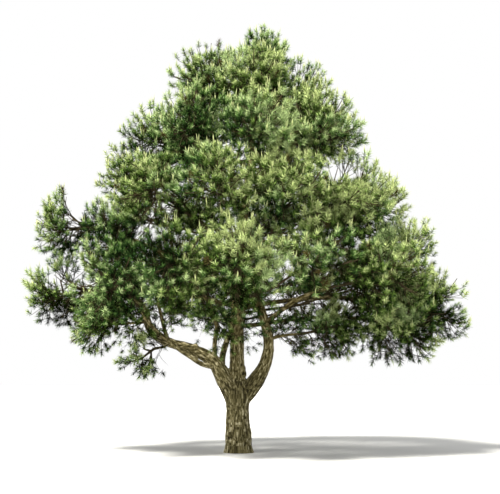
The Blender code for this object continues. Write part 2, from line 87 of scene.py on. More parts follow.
# Each bough: name, what it grows from, radius at its root, radius at its tip, and its bends.
BOUGHS = (
    ("left_limb_lower", "trunk", 0.196, 0.112,
     ((-0.06, 0.00, 1.08), (-0.24, -0.04, 1.46), (-0.42, -0.07, 1.80), (-0.62, -0.09, 2.06),
      (-1.08, -0.12, 2.28), (-1.42, -0.13, 2.38))),
    ("left_limb_upper", "left_limb_lower", 0.111, 0.072,
     ((-1.42, -0.13, 2.38), (-1.73, -0.13, 2.50), (-1.98, -0.13, 2.70), (-2.10, -0.12, 2.98),
      (-2.22, -0.10, 3.28), (-2.55, -0.08, 3.52), (-2.90, -0.08, 3.62))),
    ("left_twin_limb", "left_limb_lower", 0.060, 0.044,
     ((-0.46, -0.08, 1.86), (-0.80, -0.25, 1.94), (-1.05, -0.37, 2.09), (-1.32, -0.46, 2.27),
      (-1.64, -0.64, 2.52), (-1.95, -0.92, 2.82), (-2.08, -1.16, 3.06))),
    ("left_upright_shoot", "left_limb_lower", 0.058, 0.040,
     ((-0.54, -0.12, 2.00), (-0.54, -0.22, 2.40), (-0.49, -0.44, 2.76), (-0.58, -0.92, 3.10),
      (-0.72, -1.42, 3.36))),
    ("left_inner_shoot", "left_limb_upper", 0.048, 0.034,
     ((-1.60, -0.13, 2.45), (-1.70, -0.13, 2.80), (-1.78, -0.15, 3.12), (-1.90, -0.20, 3.62))),
    ("left_back_stem", "left_limb_lower", 0.078, 0.040,
     ((-0.36, -0.02, 1.74), (-0.38, 0.16, 2.10), (-0.29, 0.30, 2.46), (-0.20, 0.50, 2.82),
      (-0.46, 1.05, 3.30), (-0.82, 1.62, 3.66))),
    ("left_hanging_shoot", "left_limb_upper", 0.030, 0.022,
     ((-1.56, -0.15, 2.42), (-1.66, -0.30, 2.33), (-1.78, -0.40, 2.30))),
    ("left_under_shoot", "left_limb_upper", 0.034, 0.024,
     ((-2.06, -0.13, 2.90), (-2.30, -0.28, 2.86), (-2.52, -0.38, 2.84))),
    ("left_lobe_bough", "trunk", 0.070, 0.044,
     ((-0.02, 0.02, 3.70), (-0.90, 0.04, 4.02), (-1.90, 0.02, 4.55), (-2.95, -0.04, 5.00))),
    ("left_far_bough", "trunk", 0.060, 0.038,
     ((-0.04, 0.03, 3.25), (-0.95, 0.70, 3.52), (-1.90, 1.12, 3.74))),
    ("right_limb_lower", "trunk", 0.176, 0.125,
     ((0.02, 0.00, 1.08), (0.24, -0.04, 1.38), (0.45, -0.07, 1.68), (0.60, -0.09, 1.98),
      (0.67, -0.10, 2.27))),
    ("right_limb_upper", "right_limb_lower", 0.124, 0.070,
     ((0.67, -0.10, 2.27), (0.66, -0.11, 2.58), (0.58, -0.12, 2.90), (0.49, -0.14, 3.20),
      (0.42, -0.18, 3.55), (0.48, -0.42, 4.05), (0.66, -0.85, 4.62))),
    ("right_rising_branch", "right_limb_upper", 0.058, 0.040,
     ((0.59, -0.12, 2.84), (0.98, -0.32, 3.16), (1.42, -0.58, 3.42), (1.95, -0.86, 3.58))),
    ("right_long_branch", "trunk", 0.054, 0.030,
     ((-0.04, 0.02, 2.80), (0.45, 0.24, 2.86), (1.30, 0.26, 2.98), (2.20, -0.02, 3.02),
      (2.75, -0.22, 2.96))),
    ("right_low_branch", "right_limb_upper", 0.040, 0.026,
     ((0.66, -0.11, 2.50), (0.98, -0.20, 2.58), (1.38, -0.26, 2.62))),
    ("right_far_bough", "trunk", 0.062, 0.038,
     ((-0.02, 0.03, 3.22), (1.10, 0.40, 3.42), (2.20, 0.48, 3.50), (3.05, 0.36, 3.46))),
    ("back_bough", "trunk", 0.060, 0.038,
     ((-0.02, 0.04, 3.16), (0.04, 0.95, 3.64), (0.14, 1.90, 4.12))),
    ("front_bough", "trunk", 0.060, 0.038,
     ((-0.01, -0.02, 3.50), (0.02, -0.90, 3.66), (0.03, -1.80, 3.74))),
)
THICK_BOUGH = 0.08
JOINT_LENGTH = 0.08

# Each mass of needles: name, the middle of its space, half its width, and what holds it.
MASSES = (
    ("top_needles", 0.64, 0.00, 9.29, 0.70, "trunk_tip"),
    ("top_left_needles", -0.66, -0.10, 8.50, 1.14, "trunk"),
    ("top_right_needles", 1.27, 0.05, 8.22, 1.08, "trunk"),
    ("top_front_needles", 0.35, -1.10, 8.10, 1.05, "trunk"),
    ("top_back_needles", 0.40, 1.10, 8.25, 1.05, "trunk"),
    ("upper_left_needles", -1.74, -0.05, 7.08, 1.12, "trunk"),
    ("upper_front_left_needles", -0.90, -1.60, 6.95, 1.12, "trunk"),
    ("upper_front_needles", 0.50, -2.05, 6.75, 1.10, "trunk"),
    ("upper_front_right_needles", 1.75, -1.35, 6.95, 1.10, "trunk"),
    ("upper_right_needles", 1.80, 0.25, 7.28, 1.08, "trunk"),
    ("upper_back_right_needles", 1.00, 1.90, 7.00, 1.18, "trunk"),
    ("upper_back_left_needles", -0.90, 1.70, 7.15, 1.18, "trunk"),
    ("middle_left_needles", -2.20, -0.35, 6.18, 1.13, "trunk"),
    ("middle_front_left_needles", -1.65, -1.95, 5.45, 1.18, "trunk"),
    ("middle_front_needles", -0.30, -2.65, 5.40, 1.12, "trunk"),
    ("middle_front_right_needles", 1.00, -2.35, 5.45, 1.15, "right_limb_upper"),
    ("middle_right_front_needles", 2.30, -1.50, 5.45, 1.18, "trunk"),
    ("middle_right_needles", 2.98, 0.15, 5.44, 1.12, "trunk"),
    ("middle_right_back_needles", 2.15, 1.80, 5.60, 1.18, "trunk"),
    ("middle_back_needles", 0.60, 2.60, 5.60, 1.18, "trunk"),
    ("middle_back_left_needles", -0.95, 2.35, 5.60, 1.18, "trunk"),
    ("middle_left_back_needles", -2.25, 1.35, 5.55, 1.18, "trunk"),
    ("left_lobe_needles", -3.94, -0.15, 5.04, 0.98, "left_lobe_bough"),
    ("left_inner_needles", -2.80, -0.60, 4.78, 1.05, "left_inner_shoot"),
    ("right_shoulder_needles", 3.62, -0.15, 4.50, 1.06, "trunk"),
    ("low_left_needles", -3.98, -0.10, 3.52, 1.02, "left_limb_upper"),
    ("low_left_front_needles", -2.62, -1.80, 3.52, 1.18, "left_twin_limb"),
    ("low_front_left_needles", -1.20, -2.50, 3.82, 1.15, "left_upright_shoot"),
    ("low_front_needles", 0.02, -2.85, 3.84, 1.18, "front_bough"),
    ("low_front_right_needles", 1.60, -2.35, 4.08, 1.18, "trunk"),
    ("low_right_front_needles", 2.95, -1.55, 3.72, 1.20, "right_rising_branch"),
    ("low_right_needles", 4.22, 0.20, 3.30, 1.22, "right_far_bough"),
    ("low_right_back_needles", 3.05, 1.75, 4.00, 1.20, "trunk"),
    ("low_back_right_needles", 1.75, 2.40, 3.70, 1.20, "trunk"),
    ("low_back_needles", 0.15, 2.95, 4.25, 1.18, "back_bough"),
    ("low_back_left_needles", -1.40, 2.55, 4.05, 1.18, "left_back_stem"),
    ("low_left_back_needles", -2.95, 1.50, 3.85, 1.20, "left_far_bough"),
    ("left_under_needles", -3.08, -0.45, 2.82, 0.88, "left_under_shoot"),
    ("left_hanging_needles", -2.13, -0.60, 2.06, 0.66, "left_hanging_shoot"),
    ("right_under_needles", 3.46, -0.65, 2.76, 1.10, "right_long_branch"),
    ("right_inner_needles", 2.12, -0.30, 2.76, 0.92, "right_low_branch"),
)
UNDERSIDE = 0.78
SPACE_BETWEEN = 0.03
LIMB_CLEARANCE = 0.035

# The rule that fills a mass: twigs from its stem, and sprays of needles on each twig.
STEM_RISE = 0.26
STEM_SAG = 0.05
STEM_LIFT = 0.35
STEM_START = 0.12
STEM_RADIUS = 0.034
TWIG_RADIUS = 0.026
TWIG_TIP_RADIUS = 0.016
TWIG_TRIES = 12
TWIG_SIDE_DEGREES = 30
EVEN_STEPS = (0.7548777, 0.5698403)
TWIG_REACH = 0.34
TWIG_LEAST = 0.20
SPRAY_TRIES = 5
SPRAY_SPREAD = math.radians(62)
SPRAY_SWING = 0.2
SPRAY_LIFT = 0.22
SPRAY_SUNK = 0.06
SPRAY_STEP = 0.10
SPRAY_WIDTHS = ((0.30, 0.14), (0.55, 0.26), (0.78, 0.42), (1.0, 0.0))

# The plain model's sprays, and the smaller ones that the same rule adds between them here.
PLAIN_TWIGS = 3
PLAIN_SPRAYS = 3
PLAIN_LENGTHS = (1.15, 1.05, 0.95, 0.85, 0.75, 0.65, 0.55, 0.45)
PLAIN_CROWDING = 0.80
FINE_TWIGS = 9
FINE_SPRAYS = 4
FINE_TRIES = 40
FINE_LENGTHS = (0.80, 0.70, 0.60, 0.50, 0.42)
FINE_CROWDING = 0.52
WISPY = ("left_hanging_needles",)
HANGING = ("left_hanging_needles", "left_under_needles", "right_under_needles",
           "right_inner_needles")

# Clumps painted brighter with light and darker with shade than the rest, with hollows where few shoots
# grow.
CLUMP_SCALE = 1.15
CLUMP_SHARE = 0.8
FINE_CLUMP_SCALE = 2.4
FINE_CLUMP_SHARE = 0.4
CLUMP_LIGHT = 0.68
HOLLOW = -0.46

# Openings seen from the front: middle across and up, half width and height, share that is bare.
OPENINGS = (
    (-3.84, 5.62, 0.24, 0.75, 1.0),
    (-4.95, 5.50, 0.42, 0.70, 0.9),
    (-3.88, 3.86, 0.58, 0.34, 0.9),
    (-4.90, 3.08, 0.32, 0.25, 0.8),
    (-2.25, 2.38, 0.45, 0.14, 0.6),
    (-1.92, 5.50, 0.44, 0.42, 0.72),
    (-2.10, 5.00, 0.40, 0.32, 0.66),
    (-0.95, 6.05, 0.40, 0.30, 0.60),
    (2.46, 6.44, 0.50, 0.24, 0.9),
    (1.30, 3.38, 0.85, 0.24, 0.85),
    (-2.95, 2.46, 0.50, 0.22, 0.55),
    (1.92, 2.45, 0.30, 0.22, 0.55),
    (4.92, 4.02, 0.42, 0.30, 0.8),
    (-0.95, 9.60, 0.45, 0.25, 0.8),
    (1.25, 8.70, 0.25, 0.35, 0.6),
    (-2.05, 7.05, 0.36, 0.24, 0.7),
    (-1.85, 5.98, 0.36, 0.22, 0.6),
)
RAGGED = 0.8
RAGGED_SCALE = 3.3

# Lit mounds and shady hollows on the front: middle across and up, half width and height, change.
SHADES = (
    (-2.08, 5.80, 0.70, 0.48, 0.30),
    (1.15, 3.65, 0.80, 0.50, 0.40),
    (2.60, 5.75, 1.10, 0.48, 0.40),
    (-1.45, 3.72, 0.90, 0.40, 0.36),
    (0.38, 4.84, 0.60, 0.46, 0.44),
    (0.62, 7.25, 0.45, 0.40, 0.40),
    (1.45, 7.36, 0.50, 0.42, 0.14),
    (-2.30, 2.75, 0.90, 0.35, 0.14),
    (0.55, 9.55, 0.60, 0.50, 0.16),
    (-0.72, 7.85, 0.65, 0.50, -0.42),
    (0.45, 6.62, 0.35, 0.32, -0.26),
    (-2.50, 6.72, 0.60, 0.50, -0.36),
    (-1.04, 6.66, 0.55, 0.35, -0.28),
    (-2.30, 4.62, 0.80, 0.50, -0.58),
    (-0.70, 4.45, 0.35, 0.50, -0.40),
    (-1.23, 5.36, 0.35, 0.60, -0.50),
    (2.60, 4.86, 0.75, 0.35, -0.38),
    (-2.38, 4.28, 0.60, 0.35, -0.20),
    (2.80, 3.65, 0.60, 0.45, -0.12),
    (4.60, 3.05, 0.45, 0.35, -0.26),
    (-4.10, 3.12, 0.45, 0.35, -0.26),
    (-4.00, 5.20, 0.80, 0.80, -0.36),
)
SHADES_BEHIND = 0.6
SHADE_FALL = 0.8

# How much painted light a spray's needles get: more at the top and the outside of its mass, painted
# shade inside it, and a little less painted light on high masses.
SPRAY_LIGHT = 0.315
LIGHT_UPWARD = 0.25
LIGHT_OUTWARD = 0.16
LIGHT_LOST = 0.03
LIGHT_CHANCE = 0.16
MIDDLE_HEIGHT = 5.0

# The shoots of one spray: how many, the part of it that bears them, their size and their lift.
SHOOTS_PER_SQUARE_METRE = 11.5
SHOOTS_LEAST = 3.3
DENSE = {"low_right_needles": 1.6, "low_left_needles": 1.2, "right_under_needles": 1.2,
         "upper_left_needles": 1.25, "middle_left_needles": 1.25}
SHOOTS_START = 0.34
SHOOTS_SPAN = 0.58
SHOOTS_CROWDING = 0.75
SHOOT_TURN = 0.25
SHOOT_REACH = (0.65, 1.05)
SHOOT_REACH_ADDED = 0.04
SHOOT_SIZE = (0.85, 1.12)
SHOOT_LENGTH = 0.15
SHOOT_LIFT = 0.80
SHOOT_LIFT_SHARE = (0.5, 1.1)
HANGING_LIFT = 0.20
STALK_LIFT = 0.3
STALK_LEAST = 0.12
STALK_BACK = 0.30
STALK_SLANT = 0.5
BRANCHLET_SAG = 0.05
UP = np.array((0.0, 0.0, 1.0))

# How much more painted light a shoot gets than its spray: more where it stands up and towards the
# spray's tip.
LIGHT_STANDING = 0.24
LIGHT_TIPWARD = 0.24
LIGHT_EVEN_PART = 0.6
SHOOT_LIGHT_CHANCE = 0.08

# The shoot that a spray ends in, with more painted light on its needles than the rest of the spray.
END_BACK = 0.03
END_SIZE = 1.1
END_LIFT = 0.6
END_LIGHT = 0.28
END_OUTER = 1.5

# The radii and sides of stems, twigs, branchlets and shoots.
STEM_SIDES = 6
TWIG_SIDES = 5
BRANCHLET_RADII = (0.014, 0.011, 0.007)
BRANCHLET_SIDES = 4
SHOOT_RADII = (0.007, 0.006, 0.0)
INNER_SHOOT_RADII = (0.005, 0.0)
SHOOT_SIDES = 3

# The needles of one shoot, in pairs that lean out by fewer degrees towards its tip.
SHOOT_KINDS = 10
PAIRS = 23
PAIRS_START = 0.06
NEEDLE_LENGTH = 0.112
NEEDLE_LENGTHS = (0.8, 1.12)
NEEDLE_WIDTH = 0.0135
NEEDLE_SPLIT = math.radians(9)
NEEDLE_LEAN = 76
NEEDLE_LEAN_LOST = 50
NEEDLE_LEAN_CURVE = 1.3
NEEDLE_LEAN_CHANCE = 0.18
NEEDLE_TURN_CHANCE = 0.3
NEEDLE_ROUGHNESS = 0.6
TONE_CHANCE = 0.30
TONE_SPREAD = 0.68

# A candle: the pale new shoot that stands upright on a bright outer tuft, more of them higher up.
CANDLE_LENGTH = 0.18
CANDLE_RADIUS = 0.010
CANDLE_THICKEST = 0.4
CANDLE_FOOT = 0.7
CANDLE_SIZE = (0.65, 1.15)
CANDLE_LEAN = 0.2
CANDLE_FOLLOWS = 0.2
CANDLE_SPREAD = 0.1
CANDLE_OUTER = 0.85
CANDLE_LIGHT = 0.42
CANDLE_SHARE = 0.075
CANDLE_COLOUR = (0.38, 0.42, 0.19)
GOLDEN_TURN = math.pi * (3 - math.sqrt(5))

# Needle colours as lit and shaded copies of each green: painted shade darkest inside a mass, painted
# light palest at the tips; two families of green, and old brown.
TONES = (
    ("yellow_green_inmost", (0.005, 0.009, 0.0015)),
    ("yellow_green_deep", (0.012, 0.022, 0.0035)),
    ("yellow_green_dark", (0.023, 0.047, 0.0090)),
    ("yellow_green_mid", (0.045, 0.085, 0.0172)),
    ("yellow_green_fresh", (0.079, 0.140, 0.0270)),
    ("yellow_green_bright", (0.143, 0.233, 0.0483)),
    ("yellow_green_sunlit", (0.253, 0.359, 0.1042)),
    ("yellow_green_palest", (0.470, 0.560, 0.2300)),
    ("blue_green_inmost", (0.004, 0.009, 0.0020)),
    ("blue_green_deep", (0.010, 0.023, 0.0053)),
    ("blue_green_dark", (0.019, 0.048, 0.0123)),
    ("blue_green_mid", (0.037, 0.086, 0.0221)),
    ("blue_green_fresh", (0.070, 0.143, 0.0352)),
    ("blue_green_bright", (0.131, 0.236, 0.0614)),
    ("blue_green_sunlit", (0.236, 0.358, 0.1209)),
    ("blue_green_palest", (0.440, 0.560, 0.2500)),
    ("needles_old", (0.085, 0.068, 0.024)),
)
FAMILY = 8
BLUE_GREEN_SCALE = 0.8
BLUE_GREEN_SHIFT = Vector((31.0, 17.0, 5.0))
BLUE_GREEN_LEAST = 0.02
BLUE_GREEN_RISE = 0.050
BLUE_GREEN_SLANT = 0.045
BLUE_GREEN_CHANCE = 0.18
OLD_SHARE = 0.012

# The pieces that the masses' needles go in, by how the names of the masses start.
NEEDLE_PIECES = {
    "top_tufts": ("top_",),
    "upper_tufts": ("upper_",),
    "middle_front_tufts": ("middle_left_n", "middle_front", "middle_right_front", "left_lobe",
                           "left_inner"),
    "middle_back_tufts": ("middle_right_n", "middle_right_back", "middle_back", "middle_left_back",
                          "right_shoulder"),
    "low_front_tufts": ("low_left_n", "low_left_front", "low_front", "low_right_front", "left_under",
                        "left_hanging", "right_inner"),
    "low_back_tufts": ("low_right_n", "low_right_back", "low_back", "low_left_back", "right_under"),
}

# The limbs that one skin of bark covers, up to a height that the needles hide, and the place
# and radius of each lump on it.
SKIN_LIMBS = ("trunk", "left_limb_lower", "left_limb_upper", "left_twin_limb", "left_upright_shoot",
              "left_back_stem", "right_limb_lower", "right_limb_upper")
SKIN_TOP = 3.55
SKIN_OVERLAP = 0.08
SKIN_VOXEL = 0.0162
SKIN_SMOOTHINGS = 6
SKIN_SHADING = math.radians(60)
ROD_RESOLUTION = 5
BELOW_GROUND = -0.12
TRUNK_STEPS = 4
LUMP_STRETCH = (1.0, 0.8, 1.35)
LUMPS = (
    (0.09, -0.10, 1.84, 0.072),
    (0.11, -0.12, 1.73, 0.068),
    (-0.02, -0.20, 1.46, 0.090),
    (-0.20, -0.22, 0.42, 0.080),
    (0.20, -0.14, 0.36, 0.070),
    (-0.97, -0.20, 2.31, 0.075),
    (0.68, -0.17, 2.46, 0.070),
)

# Where the two lower limbs swell above the fork, and the shade between them.
CROTCH_SWELL = 0.035
CROTCH_PLACE = 0.55
CROTCH_LENGTH = 0.35
FORK_HEIGHT = 1.42
FORK_SPAN = 0.30
FORK_SHADE = 0.20

# The bark's plates and furrows: width by the limb's radius, length by the width, and depth.
PLATE_SHARE = 0.26
PLATE_LEAST = 0.050
PLATE_LENGTH = 2.9
PLATE_DEPTH = 0.085
BARK_TILT = Matrix.Rotation(0.65, 3, Vector((1.0, 0.5, 0.3)))
BARK_WARP = 0.8
BARK_WARP_SCALE = 0.7
FURROW_WIDTH = 0.42
FURROW_SHARE = 0.50
CRACK_SCALE = 1.6
CRACK_SHIFT = Vector((7.0, 3.0, 5.0))
CRACK_SHARE = 0.28
FLAKE_SCALE = 2.6
FLAKE_LENGTH_SCALE = 4.0
FLAKE_SHARE = 0.30
BARK_LEVEL = 0.6
SWELLING = 0.05
SWELLING_SCALE = 3.3
LIMB_SHIFT = 3.7
LIMB_SHIFT_MOST = 50
SHELL_STEP = 0.06
BOUGH_COLLAR = 1.35
COLLAR_LENGTH = 0.12
BOUGH_SIDES = 12

# How many points find their places on the bark at once.
BATCH = 5000

# The bark's colours by height, from its furrows to its plates, and the warm tint higher up, partly its
# own warmer colour and partly painted shade that darkens the sunnier upper limbs against the trunk low
# down, painted lighter in the crown's shadow.
BARK_COLOURS = (
    (0.27, (0.012, 0.009, 0.002)),
    (0.44, (0.051, 0.043, 0.014)),
    (0.62, (0.160, 0.139, 0.066)),
    (0.82, (0.465, 0.425, 0.280)),
)
BARK_ROUGHNESS = 0.9
BARK_SHINE = 0.2
GRAIN_SCALE = (27.0, 27.0, 8.0)
GRAIN_DETAIL = 6.0
GRAIN_ROUGHNESS = 0.65
PLATE_CONTRAST = 0.45
PLATE_LEVEL = -0.33
GRAIN_CONTRAST = 1.25
TINT = (0.94, 0.86, 0.64)
TINT_FROM = 1.6
TINT_FULL = 3.2
TINT_SHARE = 0.75
TWIG_COLOUR = (0.050, 0.040, 0.022)
TWIG_ROUGHNESS = 0.85

# Thin twigs under the crown: the bough, how many, the part that bears them, longest, leafy share.
THIN_TWIGS = (
    ("trunk", 24, 0.300, 0.39, 0.8, 0.75),
    ("left_limb_upper", 16, 0.62, 1.0, 0.8, 0.60),
    ("left_twin_limb", 9, 0.60, 1.0, 0.6, 0.50),
    ("left_upright_shoot", 32, 0.30, 1.0, 0.8, 0.75),
    ("left_inner_shoot", 26, 0.15, 1.0, 0.8, 0.70),
    ("left_back_stem", 34, 0.40, 1.0, 0.8, 0.75),
    ("left_hanging_shoot", 9, 0.40, 1.0, 0.7, 0.80),
    ("left_under_shoot", 18, 0.20, 1.0, 0.9, 0.75),
    ("right_limb_upper", 26, 0.35, 1.0, 0.7, 0.60),
    ("right_rising_branch", 26, 0.10, 1.0, 0.8, 0.55),
    ("right_long_branch", 42, 0.05, 1.0, 0.9, 0.60),
    ("right_long_branch", 26, 0.78, 1.0, 0.9, 0.90),
    ("right_low_branch", 24, 0.10, 1.0, 0.8, 0.65),
    ("right_far_bough", 30, 0.10, 1.0, 0.9, 0.50),
    ("left_far_bough", 34, 0.12, 1.0, 1.0, 0.70),
    ("left_lobe_bough", 12, 0.35, 1.0, 0.7, 0.60),
    ("front_bough", 22, 0.20, 1.0, 0.7, 0.85),
)
THIN_TWIG_LENGTHS = (0.4, 1.0)
THIN_TWIG_FORWARD = 0.7
THIN_TWIG_RISE = (-0.5, 0.1)
THIN_TWIG_SUNK = 0.5
THIN_TWIG_STEPS = 3
THIN_TWIG_BEND = (0.4, 0.4, 0.3)
THIN_TWIG_TAPER = (1.0, 0.75, 0.5, 0.0)
THIN_TWIG_RADIUS = 0.0035
THIN_TWIG_GROWTH = 0.009
FORK_TURN = (0.6, 1.2)
FORK_LENGTHS = (0.4, 0.65)
INNER_SHOOT_SIZE = (0.75, 1.05)
INNER_SHOOT_LIFT = 0.25
# The tufts of the thin twigs under the crown get little painted light, so they are painted in shade,
# give or take a chance share.
INNER_LIGHT = 0.34
INNER_LIGHT_CHANCE = 0.2


class Limb:
    """A tapering limb: its middle line, and a radius at each point."""

    def __init__(self, name, line, radii):
        self.name = name
        self.line = line
        self.radii = radii
        self.starts = np.array([point[:] for point in line[:-1]])
        self.courses = np.array([(b - a)[:] for a, b in zip(line, line[1:])])
        self.squares = np.sum(self.courses ** 2, axis=1)
        self.room = np.array(radii[:-1]) + LIMB_CLEARANCE

    def tip_direction(self):
        return (self.line[-1] - self.line[-2]).normalized()

    def at_height(self, height):
        for a, b in zip(self.line, self.line[1:]):
            if a.z <= height <= b.z:
                return a.lerp(b, (height - a.z) / (b.z - a.z))
        return self.line[-1]

    def clear_of(self, point, room):
        """Whether a ball of this size at the point keeps off the limb."""
        offset = np.array(point[:]) - self.starts
        part = np.clip(np.sum(offset * self.courses, axis=1) / self.squares, 0.0, 1.0)
        away = np.linalg.norm(offset - self.courses * part[:, None], axis=1)
        return bool(np.all(away >= self.room + room))


class Space:
    """The room of one mass: a ball, flatter below, parted from its neighbours by flat walls."""

    def __init__(self, name, x, y, z, size, holder):
        self.name = name
        self.middle = Vector((x, y, z))
        self.size = size
        self.holder = holder

    def nearness(self, point):
        return (point - self.middle).length_squared - self.size ** 2

    def holds(self, point, spaces):
        """Whether the point is in the space, on this side of the walls to the spaces given."""
        here = self.nearness(point)
        if here > 0.0 or self.middle.z - point.z > UNDERSIDE * self.size:
            return False
        for other in spaces:
            if other is not self:
                wall = 2 * (other.middle - self.middle).length
                if (other.nearness(point) - here) / wall < SPACE_BETWEEN:
                    return False
        return True


def smooth_line(bends, steps):
    """A smooth line through the bends, with this many straight steps between two of them."""
    bends = [Vector(bend) for bend in bends]
    ends = [2 * bends[0] - bends[1], *bends, 2 * bends[-1] - bends[-2]]
    line = [bends[0]]
    for a, b, c, d in zip(ends, ends[1:], ends[2:], ends[3:]):
        for step in range(1, steps + 1):
            t = step / steps
            line.append(0.5 * (2 * b + (c - a) * t + (2 * a - 5 * b + 4 * c - d) * t * t
                               + (3 * b - a - 3 * c + d) * t ** 3))
    return line


def even_taper(line, first, last):
    """A radius for each point of the line, from first to last by the length run."""
    run = [0.0]
    for a, b in zip(line, line[1:]):
        run.append(run[-1] + (b - a).length)
    return [first + (last - first) * length / run[-1] for length in run]


def trunk_limb():
    line = [Vector((lean, 0, height)) for height, lean, radius in TRUNK]
    return Limb("trunk", line, [radius for height, lean, radius in TRUNK])


def bough_limb(name, parent, first, last, bends):
    """A bough from inside its parent, or on from its parent's tip with the gap between."""
    line = smooth_line(bends, 2 if first > THICK_BOUGH else 1)
    if carries_on(parent, line):
        ahead = parent.tip_direction()
        line = [line[0] + GAP * ahead, line[0] + JOINT_LENGTH * ahead, *line[1:]]
    return Limb(name, line, even_taper(line, first, last))


def carries_on(parent, line):
    return (parent.line[-1] - line[0]).length < 2 * GAP


def stem_limb(space, limbs):
    """A mass's stem, from the trunk or on from its bough's tip to past the middle of its space."""
    middle = space.middle
    if space.holder == "trunk":
        away = middle.xy.length
        foot = limbs["trunk"].at_height(middle.z - STEM_RISE * away)
        bends = [foot, foot.lerp(middle, 0.5) - Vector((0, 0, STEM_SAG * away)), middle]
    else:
        holder = limbs["trunk" if space.holder == "trunk_tip" else space.holder]
        tip = holder.line[-1]
        ahead = holder.tip_direction()
        bends = [tip + GAP * ahead, tip + STEM_START * ahead, middle]
    out = (middle - bends[-2]).normalized() + Vector((0, 0, STEM_LIFT))
    bends.append(middle + out.normalized() * TWIG_REACH * space.size)
    return Limb(space.name, bends, even_taper(bends, STEM_RADIUS, TWIG_TIP_RADIUS))


def even_direction(number):
    """The directions of an endless even spread over a ball that is flatter below."""
    up = 1 - 2 * ((0.5 + number * EVEN_STEPS[0]) % 1.0)
    turn = math.tau * ((number * EVEN_STEPS[1]) % 1.0)
    level = math.sqrt(1 - up * up)
    return Vector((level * math.cos(turn), level * math.sin(turn), up if up > 0 else UNDERSIDE * up))


def twig_side(foot, tip, number):
    """The direction that one of a twig's three sides faces."""
    turn = math.radians(TWIG_SIDE_DEGREES + 120 * number)
    return (tip - foot).to_track_quat("Z", "Y") @ Vector((math.cos(turn), math.sin(turn), 0))


def spray_spots(foot, tip):
    """Points along a spray, with the room that it takes at each."""
    length = (tip - foot).length
    return [(foot.lerp(tip, part), width * length) for part, width in SPRAY_WIDTHS]


def spray_fits(space, spaces, limbs, taken, crowding, foot, tip):
    """Whether a spray keeps to its space, off every limb, and off the sprays placed before."""
    course = (tip - foot).normalized()
    across = course.orthogonal().normalized()
    spots = spray_spots(foot, tip)
    widest, reach = spots[-2]
    rim = [widest + reach * (Matrix.Rotation(turn * math.tau / 6, 3, course) @ across)
           for turn in range(6)]
    if not all(space.holds(point, spaces) for point in [tip, *rim]):
        return False
    if not all((spot - other).length > crowding * (room + width)
               for spot, room in spots[1:] for other, width in taken):
        return False
    return all(limb.clear_of(spot, room) for spot, room in spots for limb in limbs)


def sprays_on(space, spaces, limbs, taken, start, end, chance, count, lengths, crowding):
    """Sprays on one twig, out to the edge of the space: one from its tip, the others to its sides."""
    placed = []
    ahead = (end - start).normalized()
    first_side = chance.randrange(3)
    for number in range(count):
        foot = end - ahead * (number * SPRAY_STEP + SPRAY_SUNK)
        # The plain model's spray is rolled by this draw, which keeps the sprays of both alike.
        chance.uniform(0, math.tau)
        courses = []
        for attempt in range(SPRAY_TRIES):
            spread = SPRAY_SPREAD if number else SPRAY_SWING * attempt
            away = twig_side(start, end, first_side + number + attempt)
            course = ahead * math.cos(spread) + away * math.sin(spread)
            if number == 0:
                course += Vector((0, 0, SPRAY_LIFT))
            courses.append(course.normalized())
        tips = [foot + course * length for length in lengths for course in courses]
        for tip in tips:
            if spray_fits(space, spaces, limbs, taken, crowding, foot, tip):
                placed.append((foot, tip))
                taken += spray_spots(foot, tip)[1:]
                break
    return placed


def twigs_in(space, spaces, limbs, line, taken, chance, numbers, most, count, lengths, crowding):
    """Twigs from a mass's stem towards even directions, each with the sprays that fit on it."""
    twigs = []
    sprays = []
    for number in numbers:
        if len(twigs) == most:
            break
        tip = space.middle + even_direction(number) * TWIG_REACH * space.size
        nearest = min(range(len(line)), key=lambda step: (line[step] - tip).length)
        foot = line[max(1, nearest - 2)]
        if (tip - foot).length < TWIG_LEAST * space.size or not space.holds(tip, spaces):
            continue
        if not all(limb.clear_of(foot.lerp(tip, part), TWIG_RADIUS) for part in (0.0, 0.5, 1.0)
                   for limb in limbs):
            continue
        found = sprays_on(space, spaces, limbs, taken, foot, tip, chance, count, lengths, crowding)
        if found:
            twigs.append((foot, tip))
            sprays += found
    return twigs, sprays


def grow_mass(space, spaces, limbs):
    """The twigs and sprays of one mass: those of the plain model, then finer ones between them."""
    chance = random.Random(f"{SEED} {space.name}")
    stem = limbs[space.name].line
    others = [limb for limb in limbs.values() if limb.name != space.name]
    line = smooth_line(stem[-3:], 4)
    taken = []
    plain = (PLAIN_SPRAYS, PLAIN_LENGTHS, PLAIN_CROWDING)
    fine = (FINE_SPRAYS, FINE_LENGTHS, FINE_CROWDING)
    sprays = sprays_on(space, spaces, others, taken, stem[-2], stem[-1], chance, *plain)
    twigs, found = twigs_in(space, spaces, others, line, taken, chance, range(TWIG_TRIES),
                            PLAIN_TWIGS, *plain)
    if space.name in WISPY:
        return twigs, sprays + found
    more_twigs, more = twigs_in(space, (), others, line, taken, chance, range(FINE_TRIES),
                                FINE_TWIGS, *fine)
    return twigs + more_twigs, sprays + found + more


def unit(vector):
    return vector / np.linalg.norm(vector)


def away_from(course):
    """Two directions square to a course and to each other."""
    across = unit(np.cross(course, (0.31, 0.52, 0.79)))
    return across, np.cross(course, across)


